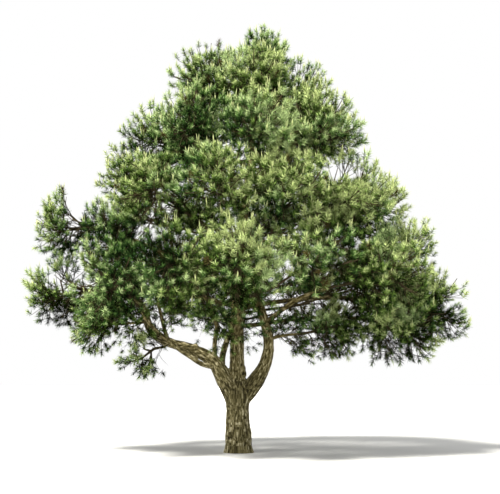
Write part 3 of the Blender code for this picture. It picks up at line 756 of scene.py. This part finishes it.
class Bundle:
    """Many small shapes that are gathered as arrays and become one mesh."""

    def __init__(self):
        self.points = []
        self.faces = []
        self.tones = []
        self.count = 0

    def add(self, points, faces, tones=0):
        self.points.append(points)
        self.faces.append(faces + self.count)
        self.tones.append(np.broadcast_to(np.asarray(tones, dtype=np.int32), len(faces)))
        self.count += len(points)

    def make(self, name, materials, smooth=False):
        points = np.concatenate(self.points).astype(np.float32)
        faces = np.concatenate(self.faces).astype(np.int32)
        mesh = bpy.data.meshes.new(name)
        mesh.vertices.add(len(points))
        mesh.vertices.foreach_set("co", points.ravel())
        mesh.loops.add(faces.size)
        mesh.loops.foreach_set("vertex_index", faces.ravel())
        mesh.polygons.add(len(faces))
        mesh.polygons.foreach_set("loop_start", np.arange(0, faces.size, 3, dtype=np.int32))
        for material in materials:
            mesh.materials.append(material)
        mesh.polygons.foreach_set("material_index", np.concatenate(self.tones))
        mesh.update()
        mesh.validate()
        if smooth:
            mesh.shade_smooth()
        piece = bpy.data.objects.new(name, mesh)
        bpy.context.scene.collection.objects.link(piece)
        return piece


def ring_faces(rings, sides, pointed=False):
    """The triangles of a closed tube of rings, with one more point after the last if it is pointed."""
    faces = []
    for step in range(rings - 1):
        low = step * sides
        for side in range(sides):
            after = (side + 1) % sides
            faces.append((low + side, low + after, low + sides + after))
            faces.append((low + side, low + sides + after, low + sides + side))
    last = (rings - 1) * sides
    for side in range(1, sides - 1):
        faces.append((0, side + 1, side))
        if not pointed:
            faces.append((last, last + side, last + side + 1))
    if pointed:
        for side in range(sides):
            faces.append((last + side, last + (side + 1) % sides, last + sides))
    return np.array(faces)


def tube(line, radii, sides):
    """A tapering tube round a line, as points and triangles. A last radius of 0 makes it pointed."""
    line = np.asarray(line, dtype=float)
    across, beside = away_from(unit(line[-1] - line[0]))
    turns = np.arange(sides) * math.tau / sides
    ring = np.cos(turns)[:, None] * across + np.sin(turns)[:, None] * beside
    pointed = radii[-1] == 0.0
    rings = len(line) - 1 if pointed else len(line)
    points = (line[:rings, None, :] + np.asarray(radii)[:rings, None, None] * ring[None]).reshape(-1, 3)
    if pointed:
        points = np.concatenate([points, line[-1:]])
    return points, ring_faces(rings, sides, pointed)


def needle_tuft(chance):
    """A shoot's needles, up +Z from the origin: points, faces, and how far out each face grows."""
    points = []
    parts = []
    for number in range(PAIRS):
        part = (number + 0.5) / PAIRS
        lean = math.radians(NEEDLE_LEAN - NEEDLE_LEAN_LOST * part ** NEEDLE_LEAN_CURVE)
        lean += chance.uniform(-NEEDLE_LEAN_CHANCE, NEEDLE_LEAN_CHANCE)
        turn = number * GOLDEN_TURN + chance.uniform(-NEEDLE_TURN_CHANCE, NEEDLE_TURN_CHANCE)
        side = np.array((math.cos(turn), math.sin(turn), 0.0))
        course = math.sin(lean) * side + np.array((0.0, 0.0, math.cos(lean)))
        across, beside = away_from(course)
        spin = chance.uniform(0, math.tau)
        width = math.cos(spin) * across + math.sin(spin) * beside
        apart = math.cos(spin) * beside - math.sin(spin) * across
        length = NEEDLE_LENGTH * chance.uniform(*NEEDLE_LENGTHS)
        root = np.array((0.0, 0.0, SHOOT_LENGTH * (PAIRS_START + (1 - PAIRS_START) * part)))
        half = 0.5 * NEEDLE_WIDTH * width
        split = math.tan(NEEDLE_SPLIT) * length * (apart + chance.uniform(-1, 1) * width)
        points += [root - half, root + half, root + course * length + split,
                   root + course * length - split]
        parts.append(part + chance.uniform(-TONE_CHANCE, TONE_CHANCE))
    pairs = np.arange(PAIRS)[:, None] * 4
    faces = np.concatenate([pairs + (0, 1, 2), pairs + (1, 0, 3)])
    return np.array(points), faces, np.array(parts * 2) - 0.5


def standing(course, chance):
    """Three columns that turn a shape's +Z to the course, with a chance roll round it."""
    across, beside = away_from(course)
    roll = chance.uniform(0, math.tau)
    first = math.cos(roll) * across + math.sin(roll) * beside
    return np.stack([first, np.cross(course, first), course], axis=1)


def clump(point):
    """From about -0.6 in a hollow painted dark with shade to 0.6 on a clump painted bright with light.
    """
    spot = Vector(point) * CLUMP_SCALE
    return (CLUMP_SHARE * noise.noise(spot)
            + FINE_CLUMP_SHARE * noise.noise(spot * FINE_CLUMP_SCALE))


def seen_place(point):
    """Where a point stands across and up as the camera sees it, in the plane of the trunk."""
    depth = 1 - point[1] / CAMERA_PLACE[1]
    return (CAMERA_PLACE[0] + (point[0] - CAMERA_PLACE[0]) / depth,
            CAMERA_PLACE[2] + (point[2] - CAMERA_PLACE[2]) / depth)


def in_opening(point, chance):
    """Whether a shoot here is one of those missing from an opening."""
    across, up = seen_place(point)
    ragged = 1 + RAGGED * noise.noise(Vector(point) * RAGGED_SCALE)
    for x, z, wide, high, share in OPENINGS:
        if ((across - x) / wide) ** 2 + ((up - z) / high) ** 2 < ragged:
            return chance.random() < share
    return False


def shade_on(point):
    """How much painted light the lit mounds, and painted shade the shady hollows, on the front give a
    shoot.
    """
    if point[1] > SHADES_BEHIND:
        return 0.0
    across, up = seen_place(point)
    return sum(change * math.exp(-SHADE_FALL * (((across - x) / wide) ** 2 + ((up - z) / high) ** 2))
               for x, z, wide, high, change in SHADES)


def first_tone(point, chance):
    """Which family of tones a tuft has: clumps of blue-green ones stand among the yellow-green."""
    cool = noise.noise(Vector(point) * BLUE_GREEN_SCALE + BLUE_GREEN_SHIFT)
    cool += BLUE_GREEN_RISE * (point[2] - MIDDLE_HEIGHT) - BLUE_GREEN_SLANT * point[0]
    cool += chance.uniform(-BLUE_GREEN_CHANCE, BLUE_GREEN_CHANCE)
    return FAMILY if cool > BLUE_GREEN_LEAST else 0


class Shoot:
    """One leafy shoot: where it leaves its branchlet, where its needles start, and its course."""

    def __init__(self, root, foot, course, size, light, outer):
        self.root = root
        self.foot = foot
        self.course = course
        self.size = size
        self.light = light
        self.outer = outer
        self.top = foot + course * SHOOT_LENGTH * size


def light_on(space, tip, chance):
    """How much painted light a spray gets: most at the top and the outside of its mass, least inside,
    where it is painted in shade.
    """
    offset = (tip - space.middle) / space.size
    outward = Vector((space.middle.x, space.middle.y, 0)).normalized()
    light = SPRAY_LIGHT + LIGHT_UPWARD * offset.z + LIGHT_OUTWARD * offset.dot(outward)
    light += chance.uniform(-LIGHT_CHANCE, LIGHT_CHANCE)
    return light - LIGHT_LOST * (space.middle.z - MIDDLE_HEIGHT) / MIDDLE_HEIGHT


def spray_width(part):
    """Half the width of a spray at a part of its length, for a spray one metre long."""
    parts, widths = zip((0.0, 0.0), *SPRAY_WIDTHS)
    return float(np.interp(part, parts, widths))


def on_branchlet(foot, end, part, length):
    """A point on the branchlet of a spray, which sags a little between its ends."""
    return foot + (end - foot) * part - BRANCHLET_SAG * length * 4 * part * (1 - part) * UP


def shoots_on(space, foot, tip, chance):
    """The branchlet of one spray, and the shoots that fan out from it and turn up to the light."""
    length = (tip - foot).length
    light = light_on(space, tip, chance)
    foot, tip = np.array(foot[:]), np.array(tip[:])
    course = unit(tip - foot)
    across, beside = away_from(course)
    lift = HANGING_LIFT if space.name in HANGING else SHOOT_LIFT
    end = tip - course * min(0.5 * length, SHOOT_LENGTH + 0.3 * NEEDLE_LENGTH)
    shoots = []
    count = round(DENSE.get(space.name, 1.0) * (SHOOTS_LEAST + SHOOTS_PER_SQUARE_METRE * length ** 2))
    for number in range(count):
        part = SHOOTS_START + SHOOTS_SPAN * ((number + 0.5) / count) ** SHOOTS_CROWDING
        turn = number * GOLDEN_TURN + chance.uniform(-SHOOT_TURN, SHOOT_TURN)
        side = math.cos(turn) * across + math.sin(turn) * beside
        reach = (SHOOT_REACH_ADDED + spray_width(part)) * length * chance.uniform(*SHOOT_REACH)
        top = foot + course * part * length + side * reach
        back = max(STALK_LEAST, part - STALK_BACK - STALK_SLANT * reach / length)
        root = on_branchlet(foot, end, back, length)
        stalk = unit(top - root + STALK_LIFT * lift * reach * UP)
        size = chance.uniform(*SHOOT_SIZE)
        way = unit(stalk + lift * chance.uniform(*SHOOT_LIFT_SHARE) * UP)
        mound = clump(top)
        if mound < HOLLOW or in_opening(top, chance):
            continue
        start = top - way * SHOOT_LENGTH * size
        # The shoot's painted light: more where it stands up and towards the tip, painted light on
        # clumps and lit mounds, painted shade in hollows.
        shoot_light = light + LIGHT_STANDING * way[2] + LIGHT_TIPWARD * (part - LIGHT_EVEN_PART)
        shoot_light += CLUMP_LIGHT * mound + shade_on(top)
        shoot_light += chance.uniform(-SHOOT_LIGHT_CHANCE, SHOOT_LIGHT_CHANCE)
        shoots.append(Shoot(root, start, way, size, shoot_light, part + 0.5 * side[2]))
    mound = clump(end)
    if mound >= HOLLOW and not in_opening(tip, chance):
        way = unit(course + END_LIFT * lift * UP)
        end_light = light + END_LIGHT + CLUMP_LIGHT * mound + shade_on(end)
        shoots.append(Shoot(end - course * END_BACK, end, way, END_SIZE, end_light, END_OUTER))
    return [foot, on_branchlet(foot, end, 0.5, length), end], shoots


def candle():
    """A candle up +Z from the origin, thickest two fifths of the way up."""
    line = [(0, 0, 0), (0, 0, CANDLE_THICKEST * CANDLE_LENGTH), (0, 0, CANDLE_LENGTH)]
    return tube(line, [CANDLE_FOOT * CANDLE_RADIUS, CANDLE_RADIUS, 0.0], SHOOT_SIDES)


def new_material(name, roughness, shine):
    """A material with its surface's roughness and shine, and its shader, which has no colour yet."""
    material = bpy.data.materials.new(name)
    material.use_nodes = True
    shader = material.node_tree.nodes["Principled BSDF"]
    shader.inputs["Roughness"].default_value = roughness
    shader.inputs["Specular IOR Level"].default_value = shine
    return material, shader


def plain_material(name, colour, roughness):
    """A matt material of one colour."""
    material, shader = new_material(name, roughness, 0.0)
    shader.inputs["Base Color"].default_value = (*colour, 1.0)
    return material


def add_camera():
    camera = bpy.data.objects.new("camera", bpy.data.cameras.new("camera"))
    camera.location = CAMERA_PLACE
    camera.rotation_euler = (math.pi / 2 + CAMERA_PITCH, 0, 0)
    camera.data.lens = CAMERA_LENS
    camera.data.sensor_width = CAMERA_SENSOR
    bpy.context.scene.collection.objects.link(camera)
    bpy.context.scene.camera = camera


def add_light():
    sun = bpy.data.lights.new("sun", "SUN")
    sun.energy = SUN_STRENGTH
    sun.angle = SUN_WIDTH
    sun.color = SUN_COLOUR
    lamp = bpy.data.objects.new("sun", sun)
    lamp.rotation_euler = SUN_TURN
    bpy.context.scene.collection.objects.link(lamp)
    world = bpy.data.worlds.new("studio")
    world.use_nodes = True
    sky = world.node_tree.nodes["Background"]
    sky.inputs["Color"].default_value = (*SKY_COLOUR, 1.0)
    sky.inputs["Strength"].default_value = 1.0
    bpy.context.scene.world = world
    bpy.context.scene.view_settings.view_transform = "Standard"


def add_floor():
    bpy.ops.mesh.primitive_plane_add(size=FLOOR_SIZE, location=(0, 0, 0))
    floor = bpy.context.object
    floor.name = "floor"
    floor.data.materials.append(plain_material("floor", FLOOR_COLOUR, FLOOR_ROUGHNESS))


class BarkLine:
    """A limb's line in fine steps, with the frame that its bark is laid out in."""

    def __init__(self, name, line, radii):
        self.name = name
        self.line = np.array([point[:] for point in line])
        self.radii = np.array(radii)
        self.courses = np.diff(self.line, axis=0)
        lengths = np.linalg.norm(self.courses, axis=1)
        self.run = np.concatenate([[0.0], np.cumsum(lengths)])
        self.ways = self.courses / lengths[:, None]
        across = away_from(self.ways[0])[0]
        self.across = []
        for way in self.ways:
            across = unit(across - np.dot(across, way) * way)
            self.across.append(across)
        self.across = np.array(self.across)
        self.beside = np.cross(self.ways, self.across)
        self.shift = LIMB_SHIFT * sum(ord(letter) for letter in name) % LIMB_SHIFT_MOST
        seen = self.line[:, 2] < SKIN_TOP
        self.plate = max(PLATE_LEAST, PLATE_SHARE * float(np.mean(self.radii[seen])))


def fine_steps(bends):
    """How many steps between bends keep a limb's rings about one step apart."""
    length = sum((Vector(b) - Vector(a)).length for a, b in zip(bends, bends[1:]))
    return max(2, round(length / (len(bends) - 1) / SHELL_STEP))


def bark_line(name):
    """The fine line of the trunk or of a bough, which runs on to its own tip without a gap."""
    if name == "trunk":
        smooth = smooth_line([(BELOW_GROUND, 0.0, TRUNK[0][2]), *TRUNK], TRUNK_STEPS)
        line = [Vector((lean, 0, height)) for height, lean, radius in smooth]
        return BarkLine(name, line, [radius for height, lean, radius in smooth])
    first, last, bends = next(row[2:] for row in BOUGHS if row[0] == name)
    line = smooth_line(bends, fine_steps(bends))
    limb = BarkLine(name, line, even_taper(line, first, last))
    if name.endswith("_lower"):
        limb.radii += CROTCH_SWELL * np.exp(-((limb.run - CROTCH_PLACE) / CROTCH_LENGTH) ** 2)
    return limb


def bark_places(points, lines):
    """Each point's place on the nearest limb's bark, two across and one along, and its widths."""
    starts = np.concatenate([line.line[:-1] for line in lines])
    courses = np.concatenate([line.courses for line in lines])
    across = np.concatenate([line.across for line in lines])
    beside = np.concatenate([line.beside for line in lines])
    run = np.concatenate([line.run[:-1] + line.shift for line in lines])
    sizes = np.concatenate([np.full(len(line.ways), line.plate) for line in lines])
    first = np.concatenate([line.radii[:-1] for line in lines])
    last = np.concatenate([line.radii[1:] for line in lines])
    squares = np.sum(courses ** 2, axis=1)
    places = np.empty((len(points), 3))
    widths = np.empty(len(points))
    plates = np.empty(len(points))
    for low in range(0, len(points), BATCH):
        batch = slice(low, low + BATCH)
        some = points[batch]
        offset = some[:, None, :] - starts[None]
        part = np.clip(np.sum(offset * courses[None], axis=2) / squares, 0.0, 1.0)
        out = offset - part[:, :, None] * courses[None]
        radius = first + (last - first) * part
        nearest = np.argmin(np.linalg.norm(out, axis=2) - radius, axis=1)
        rows = np.arange(len(some))
        out = out[rows, nearest]
        turn = np.arctan2(np.sum(out * beside[nearest], axis=1),
                          np.sum(out * across[nearest], axis=1))
        wide = radius[rows, nearest]
        along = run[nearest] + part[rows, nearest] * np.sqrt(squares[nearest])
        places[batch] = np.stack([np.cos(turn) * wide, np.sin(turn) * wide, along], axis=1)
        widths[batch] = wide
        plates[batch] = sizes[nearest]
    return places, widths, plates


def bark_height(place, plate):
    """How high the bark stands at a place: 0 in a furrow, 1 on a plate of this width."""
    spot = Vector((place[0] / plate, place[1] / plate, place[2] / (PLATE_LENGTH * plate)))
    spot = BARK_TILT @ (spot + BARK_WARP * noise.noise_vector(spot * BARK_WARP_SCALE))
    furrow = min(1.0, abs(noise.noise(spot)) / FURROW_WIDTH)
    crack = min(1.0, abs(noise.noise(spot * CRACK_SCALE + CRACK_SHIFT)) / FURROW_WIDTH)
    flake = Vector((spot.x * FLAKE_SCALE, spot.y * FLAKE_SCALE, spot.z * FLAKE_LENGTH_SCALE))
    flakes = 0.5 + 0.6 * noise.noise(flake)
    height = FURROW_SHARE * furrow + CRACK_SHARE * crack + FLAKE_SHARE * flakes
    return min(1.0, max(0.0, height))


def carve_bark(points, normals, places, widths, plates):
    """Moves the points of a limb's surface out to plates and in to furrows."""
    heights = np.array([bark_height(place, plate) for place, plate in zip(places, plates)])
    swelling = np.array([noise.noise(Vector(point) * SWELLING_SCALE) for point in points])
    out = PLATE_DEPTH * widths * (heights - BARK_LEVEL) + SWELLING * widths * swelling
    return points + normals * out[:, None], heights


def store_bark(mesh, heights, places):
    """Keeps each point's height on the bark, less any painted shade, and its place on the bark for the
    material.
    """
    plate = mesh.attributes.new("plate", "FLOAT", "POINT")
    plate.data.foreach_set("value", heights.astype(np.float32))
    grain = mesh.attributes.new("grain", "FLOAT_VECTOR", "POINT")
    grain.data.foreach_set("vector", places.astype(np.float32).ravel())


def add_rod(line, top):
    """A limb as a closed round rod, from a bevelled curve."""
    keep = [step for step, point in enumerate(line.line) if point[2] <= top or line.name != "trunk"]
    curve = bpy.data.curves.new(line.name, "CURVE")
    curve.dimensions = "3D"
    curve.bevel_depth = 1.0
    curve.bevel_resolution = ROD_RESOLUTION
    curve.use_fill_caps = True
    spline = curve.splines.new("POLY")
    spline.points.add(len(keep) - 1)
    for point, step in zip(spline.points, keep):
        point.co = (*line.line[step], 1.0)
        point.radius = line.radii[step]
    rod = bpy.data.objects.new("rod", curve)
    bpy.context.scene.collection.objects.link(rod)
    return rod


def add_lump(x, y, z, size):
    """One lump on the trunk or on a limb, as a stretched ball."""
    bpy.ops.mesh.primitive_ico_sphere_add(subdivisions=3, radius=size, location=(x, y, z))
    bpy.ops.transform.resize(value=LUMP_STRETCH)
    return bpy.context.object


def fuse(shapes):
    """One even skin round all the shapes, smoothed where they meet."""
    for shape in shapes:
        shape.select_set(True)
    bpy.context.view_layer.objects.active = shapes[0]
    bpy.ops.object.convert(target="MESH")
    bpy.ops.object.join()
    skin = bpy.context.object
    remesh = skin.modifiers.new("remesh", "REMESH")
    remesh.mode = "VOXEL"
    remesh.voxel_size = SKIN_VOXEL
    smooth = skin.modifiers.new("smooth", "SMOOTH")
    smooth.factor = 0.5
    smooth.iterations = SKIN_SMOOTHINGS
    bpy.ops.object.modifier_apply(modifier="remesh")
    bpy.ops.object.modifier_apply(modifier="smooth")
    return skin


def carve_skin(mesh, lines):
    """Plates and furrows carved into the skin, with painted shade that darkens the bark's colour round
    the fork.
    """
    points = np.empty(len(mesh.vertices) * 3, np.float32)
    mesh.vertices.foreach_get("co", points)
    points = points.reshape(-1, 3).astype(float)
    normals = np.array([point.vector[:] for point in mesh.vertex_normals])
    places, widths, plates = bark_places(points, lines)
    points, heights = carve_bark(points, normals, places, widths, plates)
    mesh.vertices.foreach_set("co", points.astype(np.float32).ravel())
    # Painted shade round the fork, taken off the plate height that colours the bark.
    shade = FORK_SHADE * np.exp(-((points[:, 2] - FORK_HEIGHT) / FORK_SPAN) ** 2)
    store_bark(mesh, heights - shade, places)


def add_skin(lines, bark):
    """The bark of the trunk and the thick limbs as one skin, cut flat at the ground."""
    bpy.ops.object.select_all(action="DESELECT")
    rods = [add_rod(line, SKIN_TOP) for line in lines]
    skin = fuse(rods + [add_lump(*lump) for lump in LUMPS])
    skin.name = "trunk_bark"
    carve_skin(skin.data, lines)
    bpy.ops.object.mode_set(mode="EDIT")
    bpy.ops.mesh.select_all(action="SELECT")
    bpy.ops.mesh.bisect(plane_co=(0, 0, 0), plane_no=(0, 0, 1), use_fill=True, clear_inner=True)
    bpy.ops.object.mode_set(mode="OBJECT")
    skin.data.materials.clear()
    skin.data.materials.append(bark)
    bpy.ops.object.shade_smooth_by_angle(angle=SKIN_SHADING)
    skin.select_set(False)
    return skin


def add_shell(bundle, grain, line, first_step, sides):
    """One thin limb's bark in rings, with a collar where it leaves what it grows from."""
    rings = slice(first_step, None)
    turns = np.arange(sides) * math.tau / sides
    across = np.concatenate([line.across[:1], line.across])[rings]
    beside = np.concatenate([line.beside[:1], line.beside])[rings]
    radii = line.radii[rings]
    run = line.run[rings]
    if first_step == 0:
        radii = radii * (1 + (BOUGH_COLLAR - 1) * np.exp(-run / COLLAR_LENGTH))
    circle = np.stack([np.cos(turns), np.sin(turns)], axis=1)
    ring = circle[None, :, :1] * across[:, None] + circle[None, :, 1:] * beside[:, None]
    points = (line.line[rings, None] + radii[:, None, None] * ring).reshape(-1, 3)
    wide = np.repeat(radii, sides)
    spots = np.tile(circle, (len(radii), 1)) * wide[:, None]
    places = np.column_stack([spots, np.repeat(run + line.shift, sides)])
    plates = np.full(len(points), line.plate)
    points, heights = carve_bark(points, ring.reshape(-1, 3), places, wide, plates)
    bundle.add(points, ring_faces(len(radii), sides))
    grain.append((heights, places))


def add_bough_bark(lines, bark):
    """The bark of the thinner boughs and of the trunk inside the crown, one shell for each."""
    bundle = Bundle()
    grain = []
    for line in lines:
        first_step = 0
        if line.name == "trunk":
            first_step = int(np.argmax(line.line[:, 2] > SKIN_TOP - SKIN_OVERLAP))
        add_shell(bundle, grain, line, first_step, BOUGH_SIDES)
    piece = bundle.make("bough_bark", [bark], smooth=True)
    store_bark(piece.data, *(np.concatenate(rows) for rows in zip(*grain)))
    return piece


def thin_twig(bundle, root, course, length, chance, forks):
    """A crooked twig with thinner ones forking from it. It gives its tips and their courses."""
    line = [root]
    for step in range(THIN_TWIG_STEPS):
        course = unit(course + [chance.uniform(-most, most) for most in THIN_TWIG_BEND])
        line.append(line[-1] + course * length / THIN_TWIG_STEPS)
    thick = THIN_TWIG_RADIUS + THIN_TWIG_GROWTH * length
    bundle.add(*tube(line, [share * thick for share in THIN_TWIG_TAPER], SHOOT_SIDES))
    tips = [(line[-1], course)]
    for number in range(forks):
        side = away_from(course)[number % 2] * chance.choice((-1, 1))
        way = unit(course + side * chance.uniform(*FORK_TURN))
        fork_length = length * chance.uniform(*FORK_LENGTHS)
        tips += thin_twig(bundle, line[1 + number % 2], way, fork_length, chance, forks - 2)
    return tips


def add_thin_twigs(bundle, lines, chance):
    """The thin twigs under the crown, and the tufts that some of them end in."""
    shoots = []
    for name, count, start, end, longest, leafy in THIN_TWIGS:
        line = next(line for line in lines if line.name == name)
        for number in range(count):
            part = start + (end - start) * (number + chance.random()) / count
            step = int(np.searchsorted(line.run[1:-1], part * line.run[-1]))
            turn = chance.uniform(0, math.tau)
            side = math.cos(turn) * line.across[step] + math.sin(turn) * line.beside[step]
            rise = chance.uniform(*THIN_TWIG_RISE) * UP
            course = unit(side + THIN_TWIG_FORWARD * line.ways[step] + rise)
            root = line.line[step] + THIN_TWIG_SUNK * side * line.radii[step]
            length = longest * chance.uniform(*THIN_TWIG_LENGTHS)
            for tip, way in thin_twig(bundle, root, course, length, chance, 2 + number % 2):
                if chance.random() < leafy and not in_opening(tip, chance):
                    way = unit(way + INNER_SHOOT_LIFT * UP)
                    light = INNER_LIGHT + chance.uniform(-INNER_LIGHT_CHANCE, INNER_LIGHT_CHANCE)
                    size = chance.uniform(*INNER_SHOOT_SIZE)
                    shoots.append(Shoot(tip, tip, way, size, light, 0.0))
    return shoots


def multiply_add(tree, value, factor):
    """A node that multiplies a value by a factor, and adds to it what its third socket holds."""
    node = tree.nodes.new("ShaderNodeMath")
    node.operation = "MULTIPLY_ADD"
    node.inputs[1].default_value = factor
    tree.links.new(value, node.inputs[0])
    return node


def grain_noise(tree):
    """A fine noise that is drawn out along each limb."""
    grain = tree.nodes.new("ShaderNodeAttribute")
    grain.attribute_name = "grain"
    stretched = tree.nodes.new("ShaderNodeMapping")
    stretched.inputs["Scale"].default_value = GRAIN_SCALE
    tree.links.new(grain.outputs["Vector"], stretched.inputs["Vector"])
    fine = tree.nodes.new("ShaderNodeTexNoise")
    fine.inputs["Scale"].default_value = 1.0
    fine.inputs["Detail"].default_value = GRAIN_DETAIL
    fine.inputs["Roughness"].default_value = GRAIN_ROUGHNESS
    tree.links.new(stretched.outputs["Vector"], fine.inputs["Vector"])
    return fine.outputs["Fac"]


def bark_ramp(tree, height):
    """The bark's colour by its height, from its furrows to its plates."""
    node = tree.nodes.new("ShaderNodeValToRGB")
    tree.links.new(height, node.inputs["Fac"])
    ramp = node.color_ramp
    for element, (position, colour) in zip(ramp.elements, (BARK_COLOURS[0], BARK_COLOURS[-1])):
        element.position = position
        element.color = (*colour, 1.0)
    for position, colour in BARK_COLOURS[1:-1]:
        ramp.elements.new(position).color = (*colour, 1.0)
    return node.outputs["Color"]


def warmer_and_shaded_above(tree, colour):
    """A colour that takes on the warm tint with height: the bark's own warmer colour, and painted shade
    that darkens the upper limbs against the lower trunk.
    """
    place = tree.nodes.new("ShaderNodeTexCoord")
    spread = tree.nodes.new("ShaderNodeSeparateXYZ")
    tree.links.new(place.outputs["Object"], spread.inputs["Vector"])
    rise = tree.nodes.new("ShaderNodeMapRange")
    rise.inputs["From Min"].default_value = TINT_FROM
    rise.inputs["From Max"].default_value = TINT_FULL
    rise.inputs["To Max"].default_value = TINT_SHARE
    tree.links.new(spread.outputs["Z"], rise.inputs["Value"])
    warm = tree.nodes.new("ShaderNodeMix")
    warm.data_type = "RGBA"
    warm.blend_type = "MULTIPLY"
    factor, plain, tint = warm.inputs[0], warm.inputs[6], warm.inputs[7]
    tint.default_value = (*TINT, 1.0)
    tree.links.new(rise.outputs["Result"], factor)
    tree.links.new(colour, plain)
    return warm.outputs[2]


def bark_material():
    """Bark: dark in the furrows and pale grey-brown on the plates, warmer higher up and darker there
    with painted shade, with painted shade round the fork too.
    """
    material, shader = new_material("bark", BARK_ROUGHNESS, BARK_SHINE)
    tree = material.node_tree
    # The plate height also carries the painted shade round the fork.
    plate = tree.nodes.new("ShaderNodeAttribute")
    plate.attribute_name = "plate"
    height = multiply_add(tree, plate.outputs["Fac"], PLATE_CONTRAST)
    height.inputs[2].default_value = PLATE_LEVEL
    mixed = multiply_add(tree, grain_noise(tree), GRAIN_CONTRAST)
    tree.links.new(height.outputs["Value"], mixed.inputs[2])
    colour = warmer_and_shaded_above(tree, bark_ramp(tree, mixed.outputs["Value"]))
    tree.links.new(colour, shader.inputs["Base Color"])
    return material


def add_tuft(bundle, tufts, shoot, chance):
    """The needles of one shoot, in lit and shaded tones picked by its painted light and by how far
    along the shoot they grow.
    """
    points, faces, parts = tufts[chance.randrange(SHOOT_KINDS)]
    turned = points @ standing(shoot.course, chance).T * shoot.size + shoot.foot
    if chance.random() < OLD_SHARE:
        tones = len(TONES) - 1
    else:
        steps = np.clip((shoot.light + TONE_SPREAD * parts) * (FAMILY + 1), 0, FAMILY - 1).astype(int)
        tones = first_tone(shoot.foot, chance) + steps
    bundle.add(turned, faces, tones)


def add_candles(bundle, shape, shoot, chance):
    """One to three candles on a tuft, if it is a bright outer one and its turn comes."""
    if shoot.outer <= CANDLE_OUTER or shoot.light <= CANDLE_LIGHT:
        return
    if chance.random() >= CANDLE_SHARE * shoot.top[2]:
        return
    points, faces = shape
    for number in range(chance.choice((1, 2, 3))):
        across = chance.uniform(-CANDLE_LEAN, CANDLE_LEAN)
        beside = chance.uniform(-CANDLE_LEAN, CANDLE_LEAN)
        lean = np.array((across, beside, 0.0))
        size = chance.uniform(*CANDLE_SIZE)
        base = shoot.top + CANDLE_SPREAD * lean
        course = unit(lean + UP + CANDLE_FOLLOWS * shoot.course)
        bundle.add(points @ standing(course, chance).T * size + base, faces)


def needle_piece(space):
    """The name of the piece that a mass's needles go in."""
    return next(name for name, starts in NEEDLE_PIECES.items() if space.name.startswith(starts))


def finish_piece(piece, nodes=()):
    """Puts a piece on the tree's one body, in place of the nodes that it stands for."""
    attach(piece, "root")
    if nodes:
        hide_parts(*nodes)


def dress(limbs, spaces, twigs, thin_shoots):
    """The tufts, candles and twigs of every mass."""
    chance = random.Random(SEED)
    tufts = [needle_tuft(chance) for kind in range(SHOOT_KINDS)]
    bundles = {name: Bundle() for name in NEEDLE_PIECES}
    inner = Bundle()
    candles = Bundle()
    candle_shape = candle()
    for shoot in thin_shoots:
        twigs.add(*tube([shoot.foot, shoot.top], INNER_SHOOT_RADII, SHOOT_SIDES))
        add_tuft(inner, tufts, shoot, chance)
    for space in spaces:
        stem = limbs[space.name]
        twigs.add(*tube([point[:] for point in stem.line], stem.radii, STEM_SIDES))
        mass_twigs, sprays = grow_mass(space, spaces, limbs)
        for foot, tip in mass_twigs:
            twigs.add(*tube([foot[:], tip[:]], [TWIG_RADIUS, TWIG_TIP_RADIUS], TWIG_SIDES))
        for foot, tip in sprays:
            line, shoots = shoots_on(space, foot, tip, chance)
            if shoots:
                twigs.add(*tube(line, BRANCHLET_RADII, BRANCHLET_SIDES))
            for shoot in shoots:
                twigs.add(*tube([shoot.root, shoot.foot, shoot.top], SHOOT_RADII, SHOOT_SIDES))
                add_tuft(bundles[needle_piece(space)], tufts, shoot, chance)
                add_candles(candles, candle_shape, shoot, chance)
    # One material for each lit and shaded copy of the greens: the needles' light and shade are painted
    # into these colours.
    needles = [plain_material(name, colour, NEEDLE_ROUGHNESS) for name, colour in TONES]
    for name, bundle in bundles.items():
        nodes = [space.name for space in spaces if needle_piece(space) == name]
        finish_piece(bundle.make(name, needles), nodes)
    finish_piece(inner.make("inner_tufts", needles))
    candle_green = plain_material("candle", CANDLE_COLOUR, NEEDLE_ROUGHNESS)
    finish_piece(candles.make("candles", [candle_green]))


def main():
    # The warp of the bark follows this seed, so that the bark is the same each time.
    noise.seed_set(SEED)
    add_camera()
    add_light()
    add_floor()
    limbs = {"trunk": trunk_limb()}
    for name, parent, first, last, bends in BOUGHS:
        limbs[name] = bough_limb(name, limbs[parent], first, last, bends)
    spaces = [Space(*row) for row in MASSES]
    limbs.update({space.name: stem_limb(space, limbs) for space in spaces})
    lines = [bark_line(name) for name in ("trunk", *(row[0] for row in BOUGHS))]
    bark = bark_material()
    skin = add_skin([line for line in lines if line.name in SKIN_LIMBS], bark)
    finish_piece(skin, SKIN_LIMBS)
    inside = [line for line in lines if line.name == "trunk" or line.name not in SKIN_LIMBS]
    finish_piece(add_bough_bark(inside, bark), [line.name for line in inside])
    twigs = Bundle()
    thin_twigs = Bundle()
    thin_shoots = add_thin_twigs(thin_twigs, lines, random.Random(SEED))
    dress(limbs, spaces, twigs, thin_shoots)
    twig_bark = plain_material("twig_bark", TWIG_COLOUR, TWIG_ROUGHNESS)
    for name, bundle in (("twigs", twigs), ("thin_twigs", thin_twigs)):
        finish_piece(bundle.make(name, [twig_bark], smooth=True))


main()
